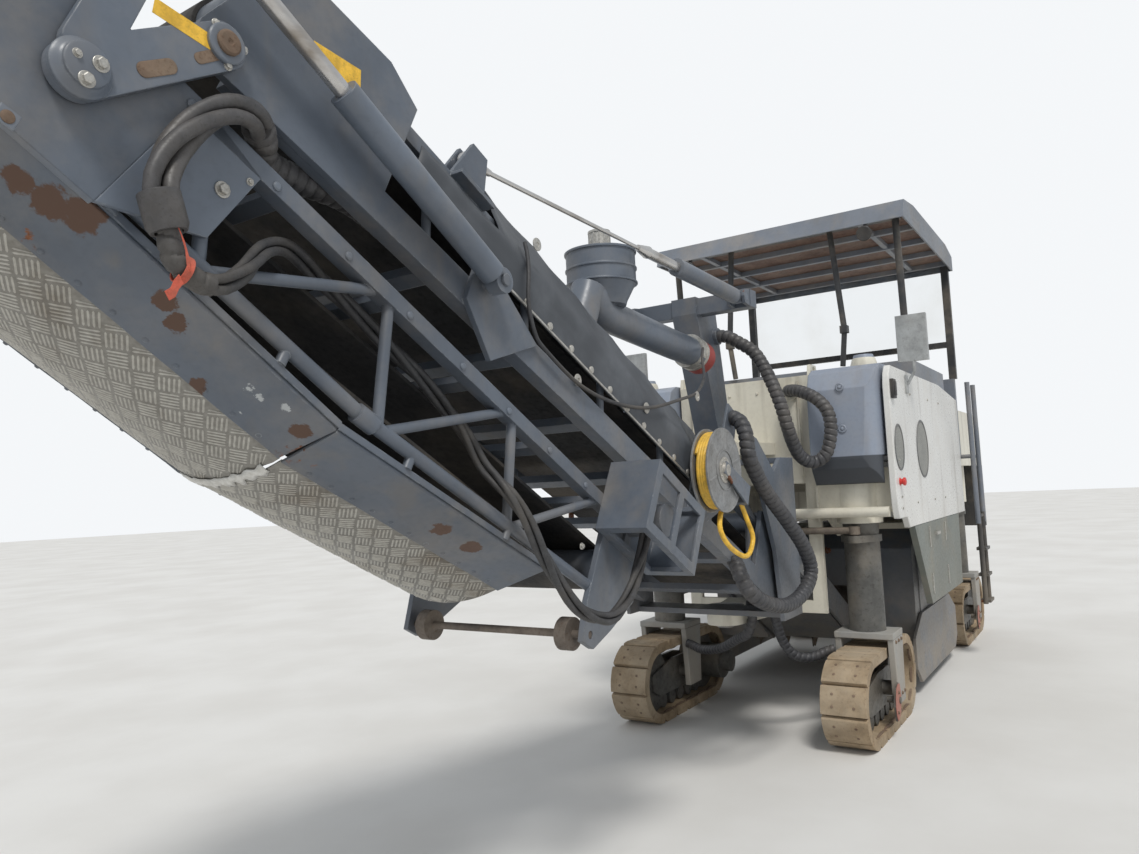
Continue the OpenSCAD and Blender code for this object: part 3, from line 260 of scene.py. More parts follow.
wrap_mat = grimy("hose_wrap", (0.055, 0.056, 0.062), 0.5, 22.0, dust=0.14, depth=0.001, spot=(0.022, 0.022, 0.023),
                 radius=0.002)
reel_mat = grimy("reel_flange", (0.25, 0.26, 0.27), 0.45, 14.0, dust=0.15, depth=0.0008, metal=0.3, spot=(0.13, 0.12, 0.11),
                 radius=0.002)
rim_mat = grimy("screen_rim", (0.13, 0.135, 0.14), 0.55, 20.0, dust=0.2, depth=0.0006, spot=(0.07, 0.07, 0.07), radius=0.001)
strap_mat = grimy("strap_webbing", (0.55, 0.075, 0.04), 0.8, 60.0, dust=0.25, depth=0.001, spot=(0.3, 0.06, 0.03), radius=0.001)
signal_mat = paint("signal_red", (0.55, 0.02, 0.02), 0.35, rust=0.0, dust=0.15, wear=0.2)
black = grimy("black_plastic", (0.03, 0.03, 0.032), 0.5, 20.0, dust=0.18, depth=0.001, spot=(0.012, 0.012, 0.013), radius=0.003)
bolt_mat = grimy("zinc_bolts", (0.5, 0.49, 0.46), 0.45, 60.0, dust=0.2, depth=0.0005, metal=0.7, spot=(0.2, 0.15, 0.1),
                 radius=0.001)
red_paint = paint("red_paint", (0.36, 0.055, 0.045), 0.5, rust=0.3, dust=0.4, low=0.4)
yellow_mat = grimy("yellow_plastic", (0.80, 0.48, 0.045), 0.45, 20.0, dust=0.12, depth=0.0006, spot=(0.4, 0.24, 0.05),
                   radius=0.001)


def chromed():
    g = Graph("rod_chrome")
    smear = g.noise(8.0, 5.0, 0.6, (0.35, 1.0, 1.0))
    c = g.mix(g.range(smear, 0.42, 0.72), (0.62, 0.61, 0.6), (0.3, 0.26, 0.22))
    return g.finish(c, g.range(smear, 0.3, 0.75, 0.16, 0.5), g.noise(90.0), None, 0.06, 0.001, 0.85)


def aluminium(name, low, high):
    """Weathered aluminium tread plate with brown stains and pale scuffs."""
    g = Graph(name)
    stain, grain = g.noise(3.2, 8.0, 0.66), g.noise(70.0, 5.0)
    c = g.mix(g.range(grain, 0.3, 0.7), low, high)
    c = g.mix(g.range(stain, 0.52, 0.75, 0.0, 0.7), c, tuple(k * t for k, t in zip(low, (0.62, 0.52, 0.42))))
    normal, edge = g.edges(0.003)
    c = g.mix(g.times(edge, 0.4), c, tone(high, 1.35))
    return g.finish(c, g.range(stain, 0.4, 0.7, 0.38, 0.62), grain, normal, 0.25, 0.0012, 0.35)


def tarpaulin():
    g = Graph("cover_fabric")
    weave = g.node("ShaderNodeTexWave", {"Vector": g.place, "Scale": 120.0, "Distortion": 0.4}).outputs[1]
    dusty = g.noise(2.2, 7.0, 0.65)
    c = g.mix(g.range(dusty, 0.4, 0.75), (0.05, 0.056, 0.066), (0.13, 0.142, 0.16))
    return g.finish(c, g.range(dusty, 0.3, 0.7, 0.42, 0.7), weave, None, 0.08, 0.0008)


def window():
    g = Graph("window_glass")
    c = g.mix(g.range(g.noise(2.0, 6.0), 0.4, 0.8), (0.80, 0.83, 0.83), (0.62, 0.62, 0.58))
    g.bsdf.inputs["Transmission Weight"].default_value = 1.0
    g.bsdf.inputs["IOR"].default_value = 1.05
    g.bsdf.inputs["Alpha"].default_value = 0.35
    return g.finish(c, g.range(g.noise(5.0, 6.0), 0.4, 0.8, 0.04, 0.3), g.noise(1.2), None, 0.02, 0.001)


def grille_mesh():
    """Perforated sheet over the fan openings."""
    g = Graph("grille_mesh")
    holes = g.node("ShaderNodeTexVoronoi", {"Vector": g.place, "Scale": 120.0, "Randomness": 0.0}).outputs["Distance"]
    hole = g.range(holes, 0.42, 0.3)
    c = g.mix(g.range(g.noise(5.0), 0.3, 0.7), (0.27, 0.275, 0.26), (0.34, 0.34, 0.32))
    c = g.mix(hole, c, (0.03, 0.03, 0.03))
    return g.finish(c, 0.6, holes, None, 0.4, 0.002)


chrome, tarp_mat, glass, mesh_mat = chromed(), tarpaulin(), window(), grille_mesh()
# Darker aluminium of the tread plate: dirt and painted shade between the bars
plate_dirt_and_shade_mat = aluminium("tread_plate", (0.21, 0.2, 0.18), (0.28, 0.27, 0.245))
# Brighter copy of the same aluminium for the bars: a painted highlight on them
bar_painted_highlight_mat = aluminium("tread_bars", (0.40, 0.385, 0.35), (0.54, 0.525, 0.48))
torn_mat = aluminium("torn_plate", (0.55, 0.54, 0.5), (0.72, 0.71, 0.68))
mirror_mat = grimy("mirror_shell", (0.33, 0.345, 0.35), 0.35, 9.0, dust=0.15, depth=0.0008, spot=(0.2, 0.2, 0.2), radius=0.003)
lining_mat = grimy("roof_lining", (0.17, 0.1, 0.075), 0.7, 6.0, dust=0.2, depth=0.001, spot=(0.08, 0.05, 0.04))


def placed(name, data):
    """An object of some data, linked to the scene."""
    made = bpy.data.objects.new(name, data)
    scene.collection.objects.link(made)
    return made


# Camera at the photograph's place: heading and climb of its view, roll in radians, focal length and width in pixels
HEADING, CLIMB, ROLL = radians(33.26), radians(4.25), 0.048
FOCAL_PX, PHOTO_PX, SENSOR_MM = 840.5, 1139, 36.0
CAMERA_AT = (5.1148, 2.145, 1.594)
look = Vector((-cos(HEADING) * cos(CLIMB), -sin(HEADING) * cos(CLIMB), sin(CLIMB)))
right = look.cross(Vector((0, 0, 1))).normalized()
down = look.cross(right)
cr, sr = cos(ROLL), sin(ROLL)
right, down = cr * right + sr * down, cr * down - sr * right
lens = bpy.data.cameras.new("photo_view")
lens.sensor_fit, lens.sensor_width, lens.lens = "HORIZONTAL", SENSOR_MM, FOCAL_PX / PHOTO_PX * SENSOR_MM
lens.clip_end = 300.0
camera = placed("photo_view", lens)
camera.matrix_world = Matrix.Translation(CAMERA_AT) @ Matrix((right, -down, -look)).transposed().to_4x4()
scene.camera = camera


# Meshes
def smooth(points, steps=4):
    """The curve through given points that the part's source draws its hoses on."""
    p = [Vector(q) for q in points]
    out = []
    for i in range(len(p) - 1):
        a, b, c, d = p[max(i - 1, 0)], p[i], p[i + 1], p[min(i + 2, len(p) - 1)]
        for k in range(steps):
            t = k / steps
            out.append(0.5 * (2 * b + (c - a) * t + (2 * a - 5 * b + 4 * c - d) * t ** 2
                              + (3 * b - a - 3 * c + d) * t ** 3))
    return out + [p[-1]]


def circle(n):
    """Cosine and sine of n even steps round."""
    return [(cos(tau * k / n), sin(tau * k / n)) for k in range(n)]


def waves(x, y, z):
    return noise.noise(Vector((x, y, z)))


def length_of(points):
    return sum((b - a).length for a, b in zip(points, points[1:]))


def spaced(points, step):
    """Points on the same line, about a step apart."""
    total = length_of(points)
    count = max(2, round(total / step))
    out, i, done = [points[0].copy()], 0, 0.0
    for k in range(1, count):
        want = total * k / count
        while done + (points[i + 1] - points[i]).length < want:
            done += (points[i + 1] - points[i]).length
            i += 1
        part = points[i + 1] - points[i]
        out.append(points[i] + part * ((want - done) / part.length))
    return out + [points[-1].copy()]


class Piece:
    """Faces in millimetres of a body's drawing frame or another one, made into one Blender object."""

    def __init__(self, body="chassis", frame=None):
        self.body, self.frame = body, frame or DRAWN_IN.get(body, MACHINE)
        self.verts, self.faces = [], []

    def add(self, points, faces):
        start = len(self.verts)
        self.verts += [Vector(p) for p in points]
        self.faces += [[start + i for i in face] for face in faces]
        return self

    def rings(self, rings, closed=False):
        """A skin over rings of the same count."""
        n = len(rings[0])
        faces = []
        for i in range(len(rings) - (not closed)):
            j = (i + 1) % len(rings)
            faces += [(i * n + k, i * n + (k + 1) % n, j * n + (k + 1) % n, j * n + k) for k in range(n)]
        if not closed:
            faces += [tuple(range(n)), tuple((len(rings) - 1) * n + k for k in range(n))]
        return self.add([p for ring in rings for p in ring], faces)

    def box(self, low, high):
        (a, b, c), (d, e, f) = low, high
        return self.rings([[(x, b, c), (x, e, c), (x, e, f), (x, b, f)] for x in (a, d)])

    def plate(self, outline, y0, y1):
        return self.rings([[(x, y, z) for x, z in outline] for y in (y0, y1)])

    def turn(self, at, axis, profile, sides=20, ring=False):
        """A turned shape from pairs of place along its axis and radius."""
        at, axis = Vector(at), Vector(axis).normalized()
        e = axis.orthogonal().normalized()
        g = axis.cross(e)
        around = [e * c + g * q for c, q in circle(sides)]
        return self.rings([[at + axis * h + way * r for way in around] for h, r in profile], ring)

    def bolt(self, at, axis, d):
        """A hexagon bolt on its washer, d over the washer."""
        at, axis = Vector(at), Vector(axis).normalized()
        self.turn(at, axis, [(0, d * 0.5), (d * 0.09, d * 0.5), (d * 0.11, d * 0.47)], 20)
        self.turn(at + axis * d * 0.11, axis, [(0, d * 0.34), (d * 0.24, d * 0.34), (d * 0.28, d * 0.28)], 6)
        return self

    def tube(self, points, radius, sides=12, wrap=0.0, pitch=34.0, offset=0.0, phase=0.0, twist=900.0, squeeze=1.0):
        """A tube along a line, as one strand of a twisted bundle or with a spiral guard's grooves."""
        points = [Vector(p) for p in points]
        last = len(points) - 1
        side = (points[1] - points[0]).orthogonal().normalized()
        along, rings = 0.0, []
        for i, p in enumerate(points):
            t = (points[min(i + 1, last)] - points[max(i - 1, 0)]).normalized()
            side = (side - t * side.dot(t)).normalized()
            up = t.cross(side)
            if i:
                along += (p - points[i - 1]).length
            turn = phase + tau * along / twist
            centre = p + (side * cos(turn) + up * sin(turn)) * offset
            ring = []
            for k in range(sides):
                a = tau * k / sides
                r = radius - wrap * (0.5 + 0.5 * cos(a + tau * along / pitch)) ** 8
                ring.append(centre + side * cos(a) * r + up * sin(a) * r * squeeze)
            rings.append(ring)
        return self.rings(rings)

    def finish(self, name, material, slot="slate_steel", bevel=0.0, replaces=None, angle=32, solid=0.0):
        """One object on its body, with its material and the CAD node that it replaces. Its slot argument is not used.
        """
        mesh = bpy.data.meshes.new(name)
        mesh.from_pydata([self.frame @ v for v in self.verts], [], self.faces)
        work = bmesh.new()
        work.from_mesh(mesh)
        bmesh.ops.recalc_face_normals(work, faces=work.faces)
        work.to_mesh(mesh)
        work.free()
        mesh.materials.append(material)
        mesh.shade_smooth()
        mesh.set_sharp_from_angle(angle=radians(angle))
        made = placed(name, mesh)
        if solid:
            m = made.modifiers.new("sheet", "SOLIDIFY")
            m.thickness, m.offset = solid, -1.0
        if bevel:
            m = made.modifiers.new("edges", "BEVEL")
            m.width, m.segments, m.limit_method, m.angle_limit = bevel, 2, "ANGLE", radians(40)
            m.harden_normals = True
        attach(made, self.body)
        if replaces:
            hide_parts(replaces)
        return made


# Hoses, on the routes of the part's source
CONVEYOR_ROUTE = [
    (1450, 460, 1930), (1464, 515, 1898), (1486, 550, 1825), (1488, 560, 1715), (1394, 562, 1617), (1280, 568, 1521),
    (1083, 600, 1362), (905, 620, 1213), (810, 620, 1076), (908, 610, 976), (1110, 590, 927), (1326, 570, 951),
    (1514, 545, 1025), (1557, 510, 1109), (1515, 470, 1170), (1500, 448, 1196)]
TANK_ROUTE = [
    (690, 96, 2500), (682, 150, 2492), (665, 216, 2450), (648, 310, 2374), (660, 391, 2227), (680, 455, 2067),
    (660, 487, 1915), (580, 489, 1809), (480, 500, 1725), (410, 555, 1690), (375, 625, 1740), (365, 660, 1880),
    (362, 645, 2000), (345, 570, 2090), (280, 450, 2150), (190, 355, 2168), (117, 341, 2170)]
LEFT_ROUTE = [
    (590, 332, 1230), (597, 330, 1100), (600, 316, 980), (600, 301, 870), (500, 281, 735), (400, 280, 590),
    (330, 325, 495), (250, 400, 470), (140, 475, 495), (118, 515, 505)]
RIGHT_ROUTE = [
    (590, 200, 1235), (598, 195, 1080), (606, 182, 930), (600, 162, 830), (594, 166, 755), (566, 118, 655),
    (470, 10, 600), (345, -165, 508), (200, -365, 462), (130, -470, 472), (118, -515, 480)]
REEL_ROUTE = [
    (1645, 560, 1500), (1605, 575, 1405), (1555, 580, 1310), (1650, 580, 1230), (1825, 570, 1290), (1905, 560, 1380),
    (1860, 550, 1455)]
FOLD_ROUTE = [
    (2400, 349, -88), (2800, 349, -88), (3200, 349, -92), (3420, 349, -112), (3610, 349, -195), (3700, 375, -231),
    (3755, 430, -226), (3816, 480, -241), (3872, 497, -285), (3911, 500, -354), (3936, 503, -432), (3944, 506, -497),
    (3937, 508, -559), (3914, 510, -600)]
OUTER_ROUTE = [
    (254, 510, 140), (289, 515, 179), (317, 515, 216), (355, 515, 230), (402, 510, 223), (443, 505, 192), (487, 487, 106),
    (524, 436, 2), (588, 385, -80), (673, 356, -112), (800, 345, -112), (1064, 345, -100), (1245, 345, -85),
    (1420, 350, -50), (1532, 372, 17), (1582, 412, 54), (1606, 470, 100), (1696, 500, 157), (1851, 510, 240),
    (1980, 530, 304), (2107, 550, 322), (2218, 565, 286), (2301, 565, 185), (2347, 556, 54), (2376, 546, -40),
    (2380, 540, -118)]
CABLE_ROUTE = [
    (2746, 412, 262), (2748, 446, 190), (2744, 470, 110), (2710, 474, 10), (2640, 474, -66), (2568, 474, -88),
    (2325, 474, -89), (2077, 474, -25), (1813, 474, 102), (1560, 474, 290), (1390, 462, 430), (1230, 400, 620),
    (1110, 310, 820), (1046, 268, 938)]
CABLE_D = 15
# Spiral guard: distance of its rings, depth of its groove in shares of the width, and pitch
WRAP_STEP, WRAP_DEPTH, WRAP_PITCH = 4.6, 0.09, 37.0
PLAIN_STEP = 24.0
# Radius of each of three strands, in shares of the bundle's
STRAND_SHARE = 0.45


def hose(name, frame, route, width, material, body, node, parts=((0, 1, "wrap"),), steps=4, sides=16):
    """A hose. Each part is (from, to) in shares of its length, and its look: wrap, plain or a count of strands."""
    line = smooth(route, steps)
    piece = Piece(body, frame)
    for start, end, look in parts:
        stations = spaced(line, WRAP_STEP if look == "wrap" else PLAIN_STEP)
        n = len(stations) - 1
        some = stations[round(start * n):round(end * n) + 1]
        if look == "wrap":
            piece.tube(some, width / 2, sides, wrap=width * WRAP_DEPTH, pitch=WRAP_PITCH)
        elif look == "plain":
            piece.tube(some, width / 2, sides)
        else:
            r = width / 2 * STRAND_SHARE
            for k in range(look):
                piece.tube(some, r, 12, offset=width / 2 - r, phase=tau * k / look)
    slot = "hose_yellow" if material is yellow_mat else "hose_black"
    made = piece.finish(name, material, slot, replaces=node)


hose("conveyor_hose_wrapped", MACHINE, CONVEYOR_ROUTE, 80, wrap_mat, "inner_conveyor", "conveyor_hose")
hose("tank_hose_wrapped", MACHINE, TANK_ROUTE, 80, wrap_mat, "mast", "tank_hose")
hose("track_hose_left", MACHINE, LEFT_ROUTE, 60, wrap_mat, "chassis", "track_hoses")
hose("track_hose_right", MACHINE, RIGHT_ROUTE, 60, wrap_mat, "chassis", "track_hoses")
hose("fold_hose_bundle", INNER, FOLD_ROUTE, 80, wrap_mat, "inner_conveyor", "fold_hoses",
     [(0, 0.27, 3), (0.27, 0.76, "wrap"), (0.75, 1, 3)])
hose("outer_hose_bundle", OUTER, OUTER_ROUTE, 52, hose_mat, "outer_conveyor", "outer_hoses",
     [(0, 0.075, "wrap"), (0.07, 1, 3)], steps=3)
hose("reel_water_hose", MACHINE, REEL_ROUTE, 24, yellow_mat, "inner_conveyor", "reel_hose",
     [(0, 1, "plain")], sides=12)

# Lid of the outer section: tread plate arches in one node with the side sheets
LIP_Y, LID_HALF, LID_Z, LID_RISE = 425, 240, 80, 58
LIDS = [((-180, 145), (930, 262)), ((931, 266), (1950, 215))]
# Sheet thickness, and the inset that keeps the tread off the lid's edge
LID_T, LID_EDGE = 5.0, 3
# Tread: its square cells, the parallel bars in each, and a bar's length, width and height
CELL, BARS, BAR_L, BAR_W, BAR_H = 56.0, 5, 50.0, 6.2, 2.6
# A bar's corners in shares of half its length, half its width and its height, and the faces between them
BAR_CORNERS = ((-1, 0, 0), (-0.8, -1, 0), (0.8, -1, 0), (1, 0, 0), (0.8, 1, 0), (-0.8, 1, 0), (-0.72, 0, 1), (0.72, 0, 1))
BAR_FACES = [(0, 1, 6), (1, 2, 7, 6), (2, 3, 7), (3, 4, 7), (4, 5, 6, 7), (5, 0, 6)]


def lid_frame(ends):
    (x0, z0), (x1, z1) = ends
    return OUTER @ turned(x0, z0, -degrees(atan2(z1 - z0, x1 - x0))), hypot(x1 - x0, z1 - z0)


def on_arch(x, y, lift=0.0):
    """A point of the lid's arch, lifted square to it."""
    slope = -2 * LID_RISE * y / LID_HALF ** 2
    n = Vector((0, -slope, 1)).normalized()
    return Vector((x, y, LID_Z + LID_RISE * (1 - (y / LID_HALF) ** 2))) + n * lift


def ragged(index, long, x, y):
    """A point of a lid's dented skin. The first lid is torn at its far end."""
    if index == 0 and x == long:
        x += 10 * waves(0, y * 0.03, 3) + 6
    lift = 2.2 * waves(x * 0.006, y * 0.01, index * 9)
    if index == 0 and x > long - 60 and -230 < y < 240:
        lift -= 4 * max(0.0, waves(0, y * 0.02, 8)) * (x - long + 60) / 60
    return on_arch(x, y, lift)


def lid_skin(index, place, long):
    skin = Piece("outer_conveyor", place)
    m, n = 45, 21
    xs = [long * i / (m - 1) for i in range(m)]
    ys = [LID_HALF * (-1 + i / 10) for i in range(n)]
    faces = [(i * n + k, i * n + k + 1, (i + 1) * n + k + 1, (i + 1) * n + k) for i in range(m - 1) for k in range(n - 1)]
    for lift in (0.0, -LID_T):
        base = len(skin.verts)
        skin.add([ragged(index, long, x, y) + Vector((0, 0, lift)) for x in xs for y in ys], faces)
    rim = list(range(n)) + [i * n + n - 1 for i in range(1, m)]
    rim += [(m - 1) * n + k for k in range(n - 2, -1, -1)] + [i * n for i in range(m - 2, 0, -1)]
    skin.faces += [[a, b, b + base, a + base] for a, b in zip(rim, rim[1:] + rim[:1])]
    # The plate's darker aluminium is dirt and painted shade between the bars
    skin.finish("lid_%d" % (index + 1), plate_dirt_and_shade_mat, "tread_plate", replaces="outer_cover", angle=25)


def lid_bars(index, place, long):
    """Raised bars in square cells that lie across the lid's diagonals, each cell's bars square to its neighbours'."""
    bars = Piece("outer_conveyor", place)
    half = CELL * sqrt(0.5)
    reach = int(long / half) + 4
    for i in range(-reach, reach):
        for j in range(-reach, reach):
            cx, cy = (i + j) * half + 30, (i - j) * half
            if not (-20 < cx < long + 20 and abs(cy) < LID_HALF + 20):
                continue
            turn = radians(45 if i % 2 == j % 2 else -45)
            a, b = Vector((cos(turn), sin(turn))), Vector((-sin(turn), cos(turn)))
            for k in range(-(BARS // 2), BARS // 2 + 1):
                mid = Vector((cx, cy)) + b * k * (CELL / BARS)
                if not (8 < mid.x < long - 8 and abs(mid.y) < LID_HALF - 8):
                    continue
                points = []
                for u, w, h in BAR_CORNERS:
                    q = mid + a * (u * BAR_L / 2) + b * (w * BAR_W / 2)
                    x = min(max(q.x, LID_EDGE), long - LID_EDGE)
                    y = min(max(q.y, LID_EDGE - LID_HALF), LID_HALF - LID_EDGE)
                    up = on_arch(x, y, 1) - on_arch(x, y)
                    points.append(ragged(index, long, x, y) + up * (BAR_H * h - 0.4))
                bars.add(points, BAR_FACES)
    # The bars' brighter aluminium is a painted highlight
    bars.finish("lid_bars_%d" % (index + 1), bar_painted_highlight_mat, "tread_plate", replaces="outer_cover", angle=25)


def lid_sheets(index, place, long):
    """Dented side sheets with a row of rivet heads beside the lid."""
    side = Piece("outer_conveyor", place)
    profile = [(LIP_Y, 0), (LIP_Y, 9), (LID_HALF + 3, LID_Z + 6), (LID_HALF - 2, LID_Z - 2), (LIP_Y - 14, 1)]
    steps, rivets = 30, 12
    for s, _ in SIDES:
        rings = []
        for i in range(steps + 1):
            x = long * i / steps
            dent = 2.5 * waves(x * 0.005, s * 3, index)
            rings.append([(x, s * y, z + (dent if 0 < i < steps and z > 3 else 0)) for y, z in profile])
        side.rings(rings)
        for i in range(1, rivets):
            side.turn((long * i / rivets, s * (LID_HALF + 20), LID_Z - 2), (0, s * 0.4, 1), [(-2, 8), (3, 7), (5, 3)], 8)
    side.finish("lid_sheets_%d" % (index + 1), sheet, bevel=0.0015, replaces="outer_cover")


for index, ends in enumerate(LIDS):
    place, long = lid_frame(ends)
    lid_skin(index, place, long)
    lid_bars(index, place, long)
    lid_sheets(index, place, long)

# Tarpaulin over the inner section: height of the bend in its side, half width and height of its top
BEND, HALF, TOP = 165, 300, 420


def tarp(name, u0, u1, y, low, flaps=0.0):
    """One length of it between two stations, from its lower edge at y and low, with side flaps beyond its end."""
    rough = [(y, low), (y, (low + BEND) / 2), (y, BEND), ((y + HALF) / 2, (BEND + TOP) / 2), (HALF, TOP)]
    line = []
    for a, b in zip(rough, rough[1:]):
        line += [(a[0] + (b[0] - a[0]) * k / 5, a[1] + (b[1] - a[1]) * k / 5) for k in range(5)]
    line += [(HALF - HALF * k / 8, TOP) for k in range(8)]
    line = line + [(0, TOP)] + [(-p, q) for p, q in reversed(line)]
    for _ in range(2):
        softer = [tuple((a[k] + 2 * b[k] + c[k]) / 4 for k in (0, 1)) for a, b, c in zip(line, line[1:], line[2:])]
        line = [line[0]] + softer + [line[-1]]
    long = u1 + flaps - u0
    count = round(long / 40)
    piece = Piece("inner_conveyor")
    n = len(line)
    pts, faces = [], []
    for i in range(count + 1):
        u = u0 + long * i / count
        for k, (p, q) in enumerate(line):
            free = min(k, n - 1 - k) / 10
            fold = waves(u * 0.0045, k * 0.16, 5.0) * 5 + waves(u * 0.02, k * 0.5, 2.0) * 1.6
            sag = -7 * sin(pi * ((u - u0) % 320) / 320) * min(1.0, free)
            d = (fold + sag) * (0.35 if free < 0.6 else 1.0) - 2
            out = Vector((0, p, q - 150)).normalized()
            pts.append(Vector((u, p, q)) + out * d)
    for i in range(count):
        mid = u0 + long * (i + 0.5) / count
        for k in range(n - 1):
            if mid > u1 and not (k < 10 or k > n - 12):
                continue
            faces.append((i * n + k, i * n + k + 1, (i + 1) * n + k + 1, (i + 1) * n + k))
    piece.add(pts, faces)
    made = piece.finish(name, tarp_mat, "cover_black", replaces="inner_cover", angle=60, solid=0.004)


tarp("tarpaulin_low", 480, 1310, 449.7, 145)
tarp("tarpaulin_high", 1312, 2920, 458, 2, flaps=400)

# Studs and rail along the tarpaulin's lower edge
studs = Piece("inner_conveyor")
for s in (1, -1):
    for i in range(11):
        studs.turn((1350 + i * 150, s * 455, 24), (0, s, 0), [(0, 15), (6, 14), (9, 9)], 12)
    studs.box((1330, s * 457 - 2, 4), (3300, s * 457 + 3, 12))
studs.finish("tarpaulin_studs", bolt_mat, "cover_black")

# Dust fan: housing, motor, curved duct and its red cap
fan = Piece("inner_conveyor")
lean = Vector((sin(radians(INNER_TILT)), 0, cos(radians(INNER_TILT))))
hub = Vector((1929, 140, 834))
fan.turn(hub - lean * 82, lean, [(0, 168), (0.1, 172), (8, 172), (9, 165), (68, 165), (69, 171), (78, 171), (79, 165),
                                 (148, 165), (149, 172), (160, 172), (166, 150), (168, 66)], 48)
fan.turn(hub - lean * 182, lean, [(0, 112), (20, 118), (80, 150), (100, 160)], 48)
fan.turn(hub + lean * 84, lean, [(0, 80), (10, 80), (12, 62)], 32)
fan.finish("fan_housing", slate_clean, bevel=0.0015, replaces="dust_fan")
motor = Piece("inner_conveyor")
motor.turn(hub + lean * 90, lean, [(0, 56), (18, 58), (22, 50), (78, 50), (82, 55), (92, 54), (98, 40), (104, 16)], 28)
for c, q in circle(12):
    out = Vector((c * lean.z, q, -c * lean.x))
    motor.turn(hub + lean * 114 + out * 50, lean, [(0, 4), (56, 4)], 6)
motor.finish("fan_motor", bolt_mat, bevel=0.001, replaces="dust_fan")
duct = Piece("inner_conveyor")
line = smooth([(1950, 140, 720), (1915, 140, 655), (1840, 141, 640), (1700, 145, 690),
               (1450, 153, 785), (1200, 163, 880), (1040, 168, 945), (950, 174, 975)], 6)
duct.tube(line, 94, 28, squeeze=0.82)
duct.turn((1990, 140, 421), (-0.02, 0, 1), [(0, 92), (10, 92), (12, 75), (200, 75), (250, 82)], 28)
duct.finish("fan_duct", slate_clean, bevel=0.002, replaces="dust_fan")
ring = Piece("inner_conveyor")
way = Vector((-170, 10, 42)).normalized()
ring.turn((1030, 169, 949), way, [(0, 88), (2, 96), (30, 96), (32, 90), (60, 90), (62, 95), (80, 95), (84, 88)], 36)
ring.finish("fan_duct_band", bolt_mat, replaces="dust_fan")
cap = Piece("inner_conveyor")
cap.turn(Vector((950, 174, 969)), way, [(0, 88), (6, 94), (60, 94), (86, 84), (98, 60), (102, 20)], 36)
cap.finish("fan_duct_cap", red_paint, bevel=0.002, replaces="dust_fan")

# Fold arms and ends of the outer section
def stadium(piece, a, b, y, r, deep):
    """A slot's dark floor between two points of a side face."""
    a, b = Vector(a), Vector(b)
    along = (b - a).normalized()
    across = Vector((-along.y, along.x))
    turns = [pi * k / 10 for k in range(11)]
    rim = [a + (across * cos(t) - along * sin(t)) * r for t in turns]
    rim += [b + (-across * cos(t) + along * sin(t)) * r for t in turns]
    piece.plate([tuple(q) for q in rim], y, y + deep)


# Outer faces of the fold arms and of the outer section's end plates
ARM_Y, END_Y = 482, 450


def fold_arm(s, side):
    """Bosses, pins, slots and bolts of a fold arm."""
    gear = Piece("fold_links")
    gear.turn((SWING_X, s * ARM_Y, SWING_Z), (0, s, 0), [(0, 62), (10, 62), (13, 57), (22, 52), (26, 46), (34, 46), (37, 40)],
              32)
    gear.turn((FOLD_X, s * ARM_Y, FOLD_Z), (0, s, 0), [(0, 48), (9, 48), (12, 44), (12, 31)], 32)
    gear.plate([(4185, -660), (4225, -660), (4225, -625), (4185, -625)], s * ARM_Y, s * (ARM_Y + 4))
    gear.finish("fold_bosses_" + side, slate_clean, bevel=0.0012)
    pins = Piece("fold_links")
    pins.turn((FOLD_X, s * (ARM_Y + 10), FOLD_Z), (0, s, 0), [(0, 30), (8, 30), (12, 25), (12, 8), (9, 6)], 24)
    stadium(pins, (4020, -296), (4058, -350), s * ARM_Y, 17, s * 1.5)
    stadium(pins, (3940, -160), (3978, -222), s * ARM_Y, 13, s * 1.2)
    pins.turn((4205, s * (ARM_Y + 3), -643), (0, s, 0), [(0, 13), (2, 13), (2.5, 8)], 16)
    pins.finish("fold_pins_" + side, rusty)
    nuts = Piece("fold_links")
    for at, d in (((4142, -489), 34), ((4136, -439), 34), ((4178, -455), 20)):
        nuts.bolt((at[0], s * (ARM_Y + 36), at[1]), (0, s, 0), d)
    for at in ((3905, -110), (3985, -112), (3918, -180)):
        nuts.bolt((at[0], s * ARM_Y, at[1]), (0, s, 0), 22)
    nuts.finish("fold_bolts_" + side, bolt_mat)


def outer_end(s, side):
    """End plate of the outer section, rivets along its chord and bolts."""
    end = Piece("outer_conveyor")
    end.plate([(220, -190), (428, -145), (388, 88), (160, 195)], s * (END_Y - 12), s * END_Y)
    for i in range(9):
        end.turn((210 + i * 260, s * (END_Y - 1), -158), (0, s, 0), [(0, 13), (5, 12), (8, 7)], 10)
    end.finish("outer_end_plate_" + side, slate_clean, bevel=0.0015)
    fix = Piece("outer_conveyor")
    for at, d in (((362, -39), 40), ((408, -111), 20), ((250, 120), 26), ((250, -150), 26), ((2100, 60), 26),
                  ((2420, -60), 30)):
        fix.bolt((at[0], s * END_Y, at[1]), (0, s, 0), d)
    fix.finish("outer_bolts_" + side, bolt_mat)


for side in SIDES:
    fold_arm(*side)
    outer_end(*side)

# Plain yellow stickers on the left side
for name, corners, y, body in (
        ("sticker_end_plate", [(3754, 120), (3601, 179), (3570, 104), (3710, 48)], 451.4, "inner_conveyor"),
        ("sticker_fold_arm", [(4112, -184), (3977, -146), (3967, -182), (4102, -220)], 482.8, "fold_links")):
    mark = Piece(body)
    mark.plate(corners, y - 0.8, y)
    mark.finish(name, yellow_mat)

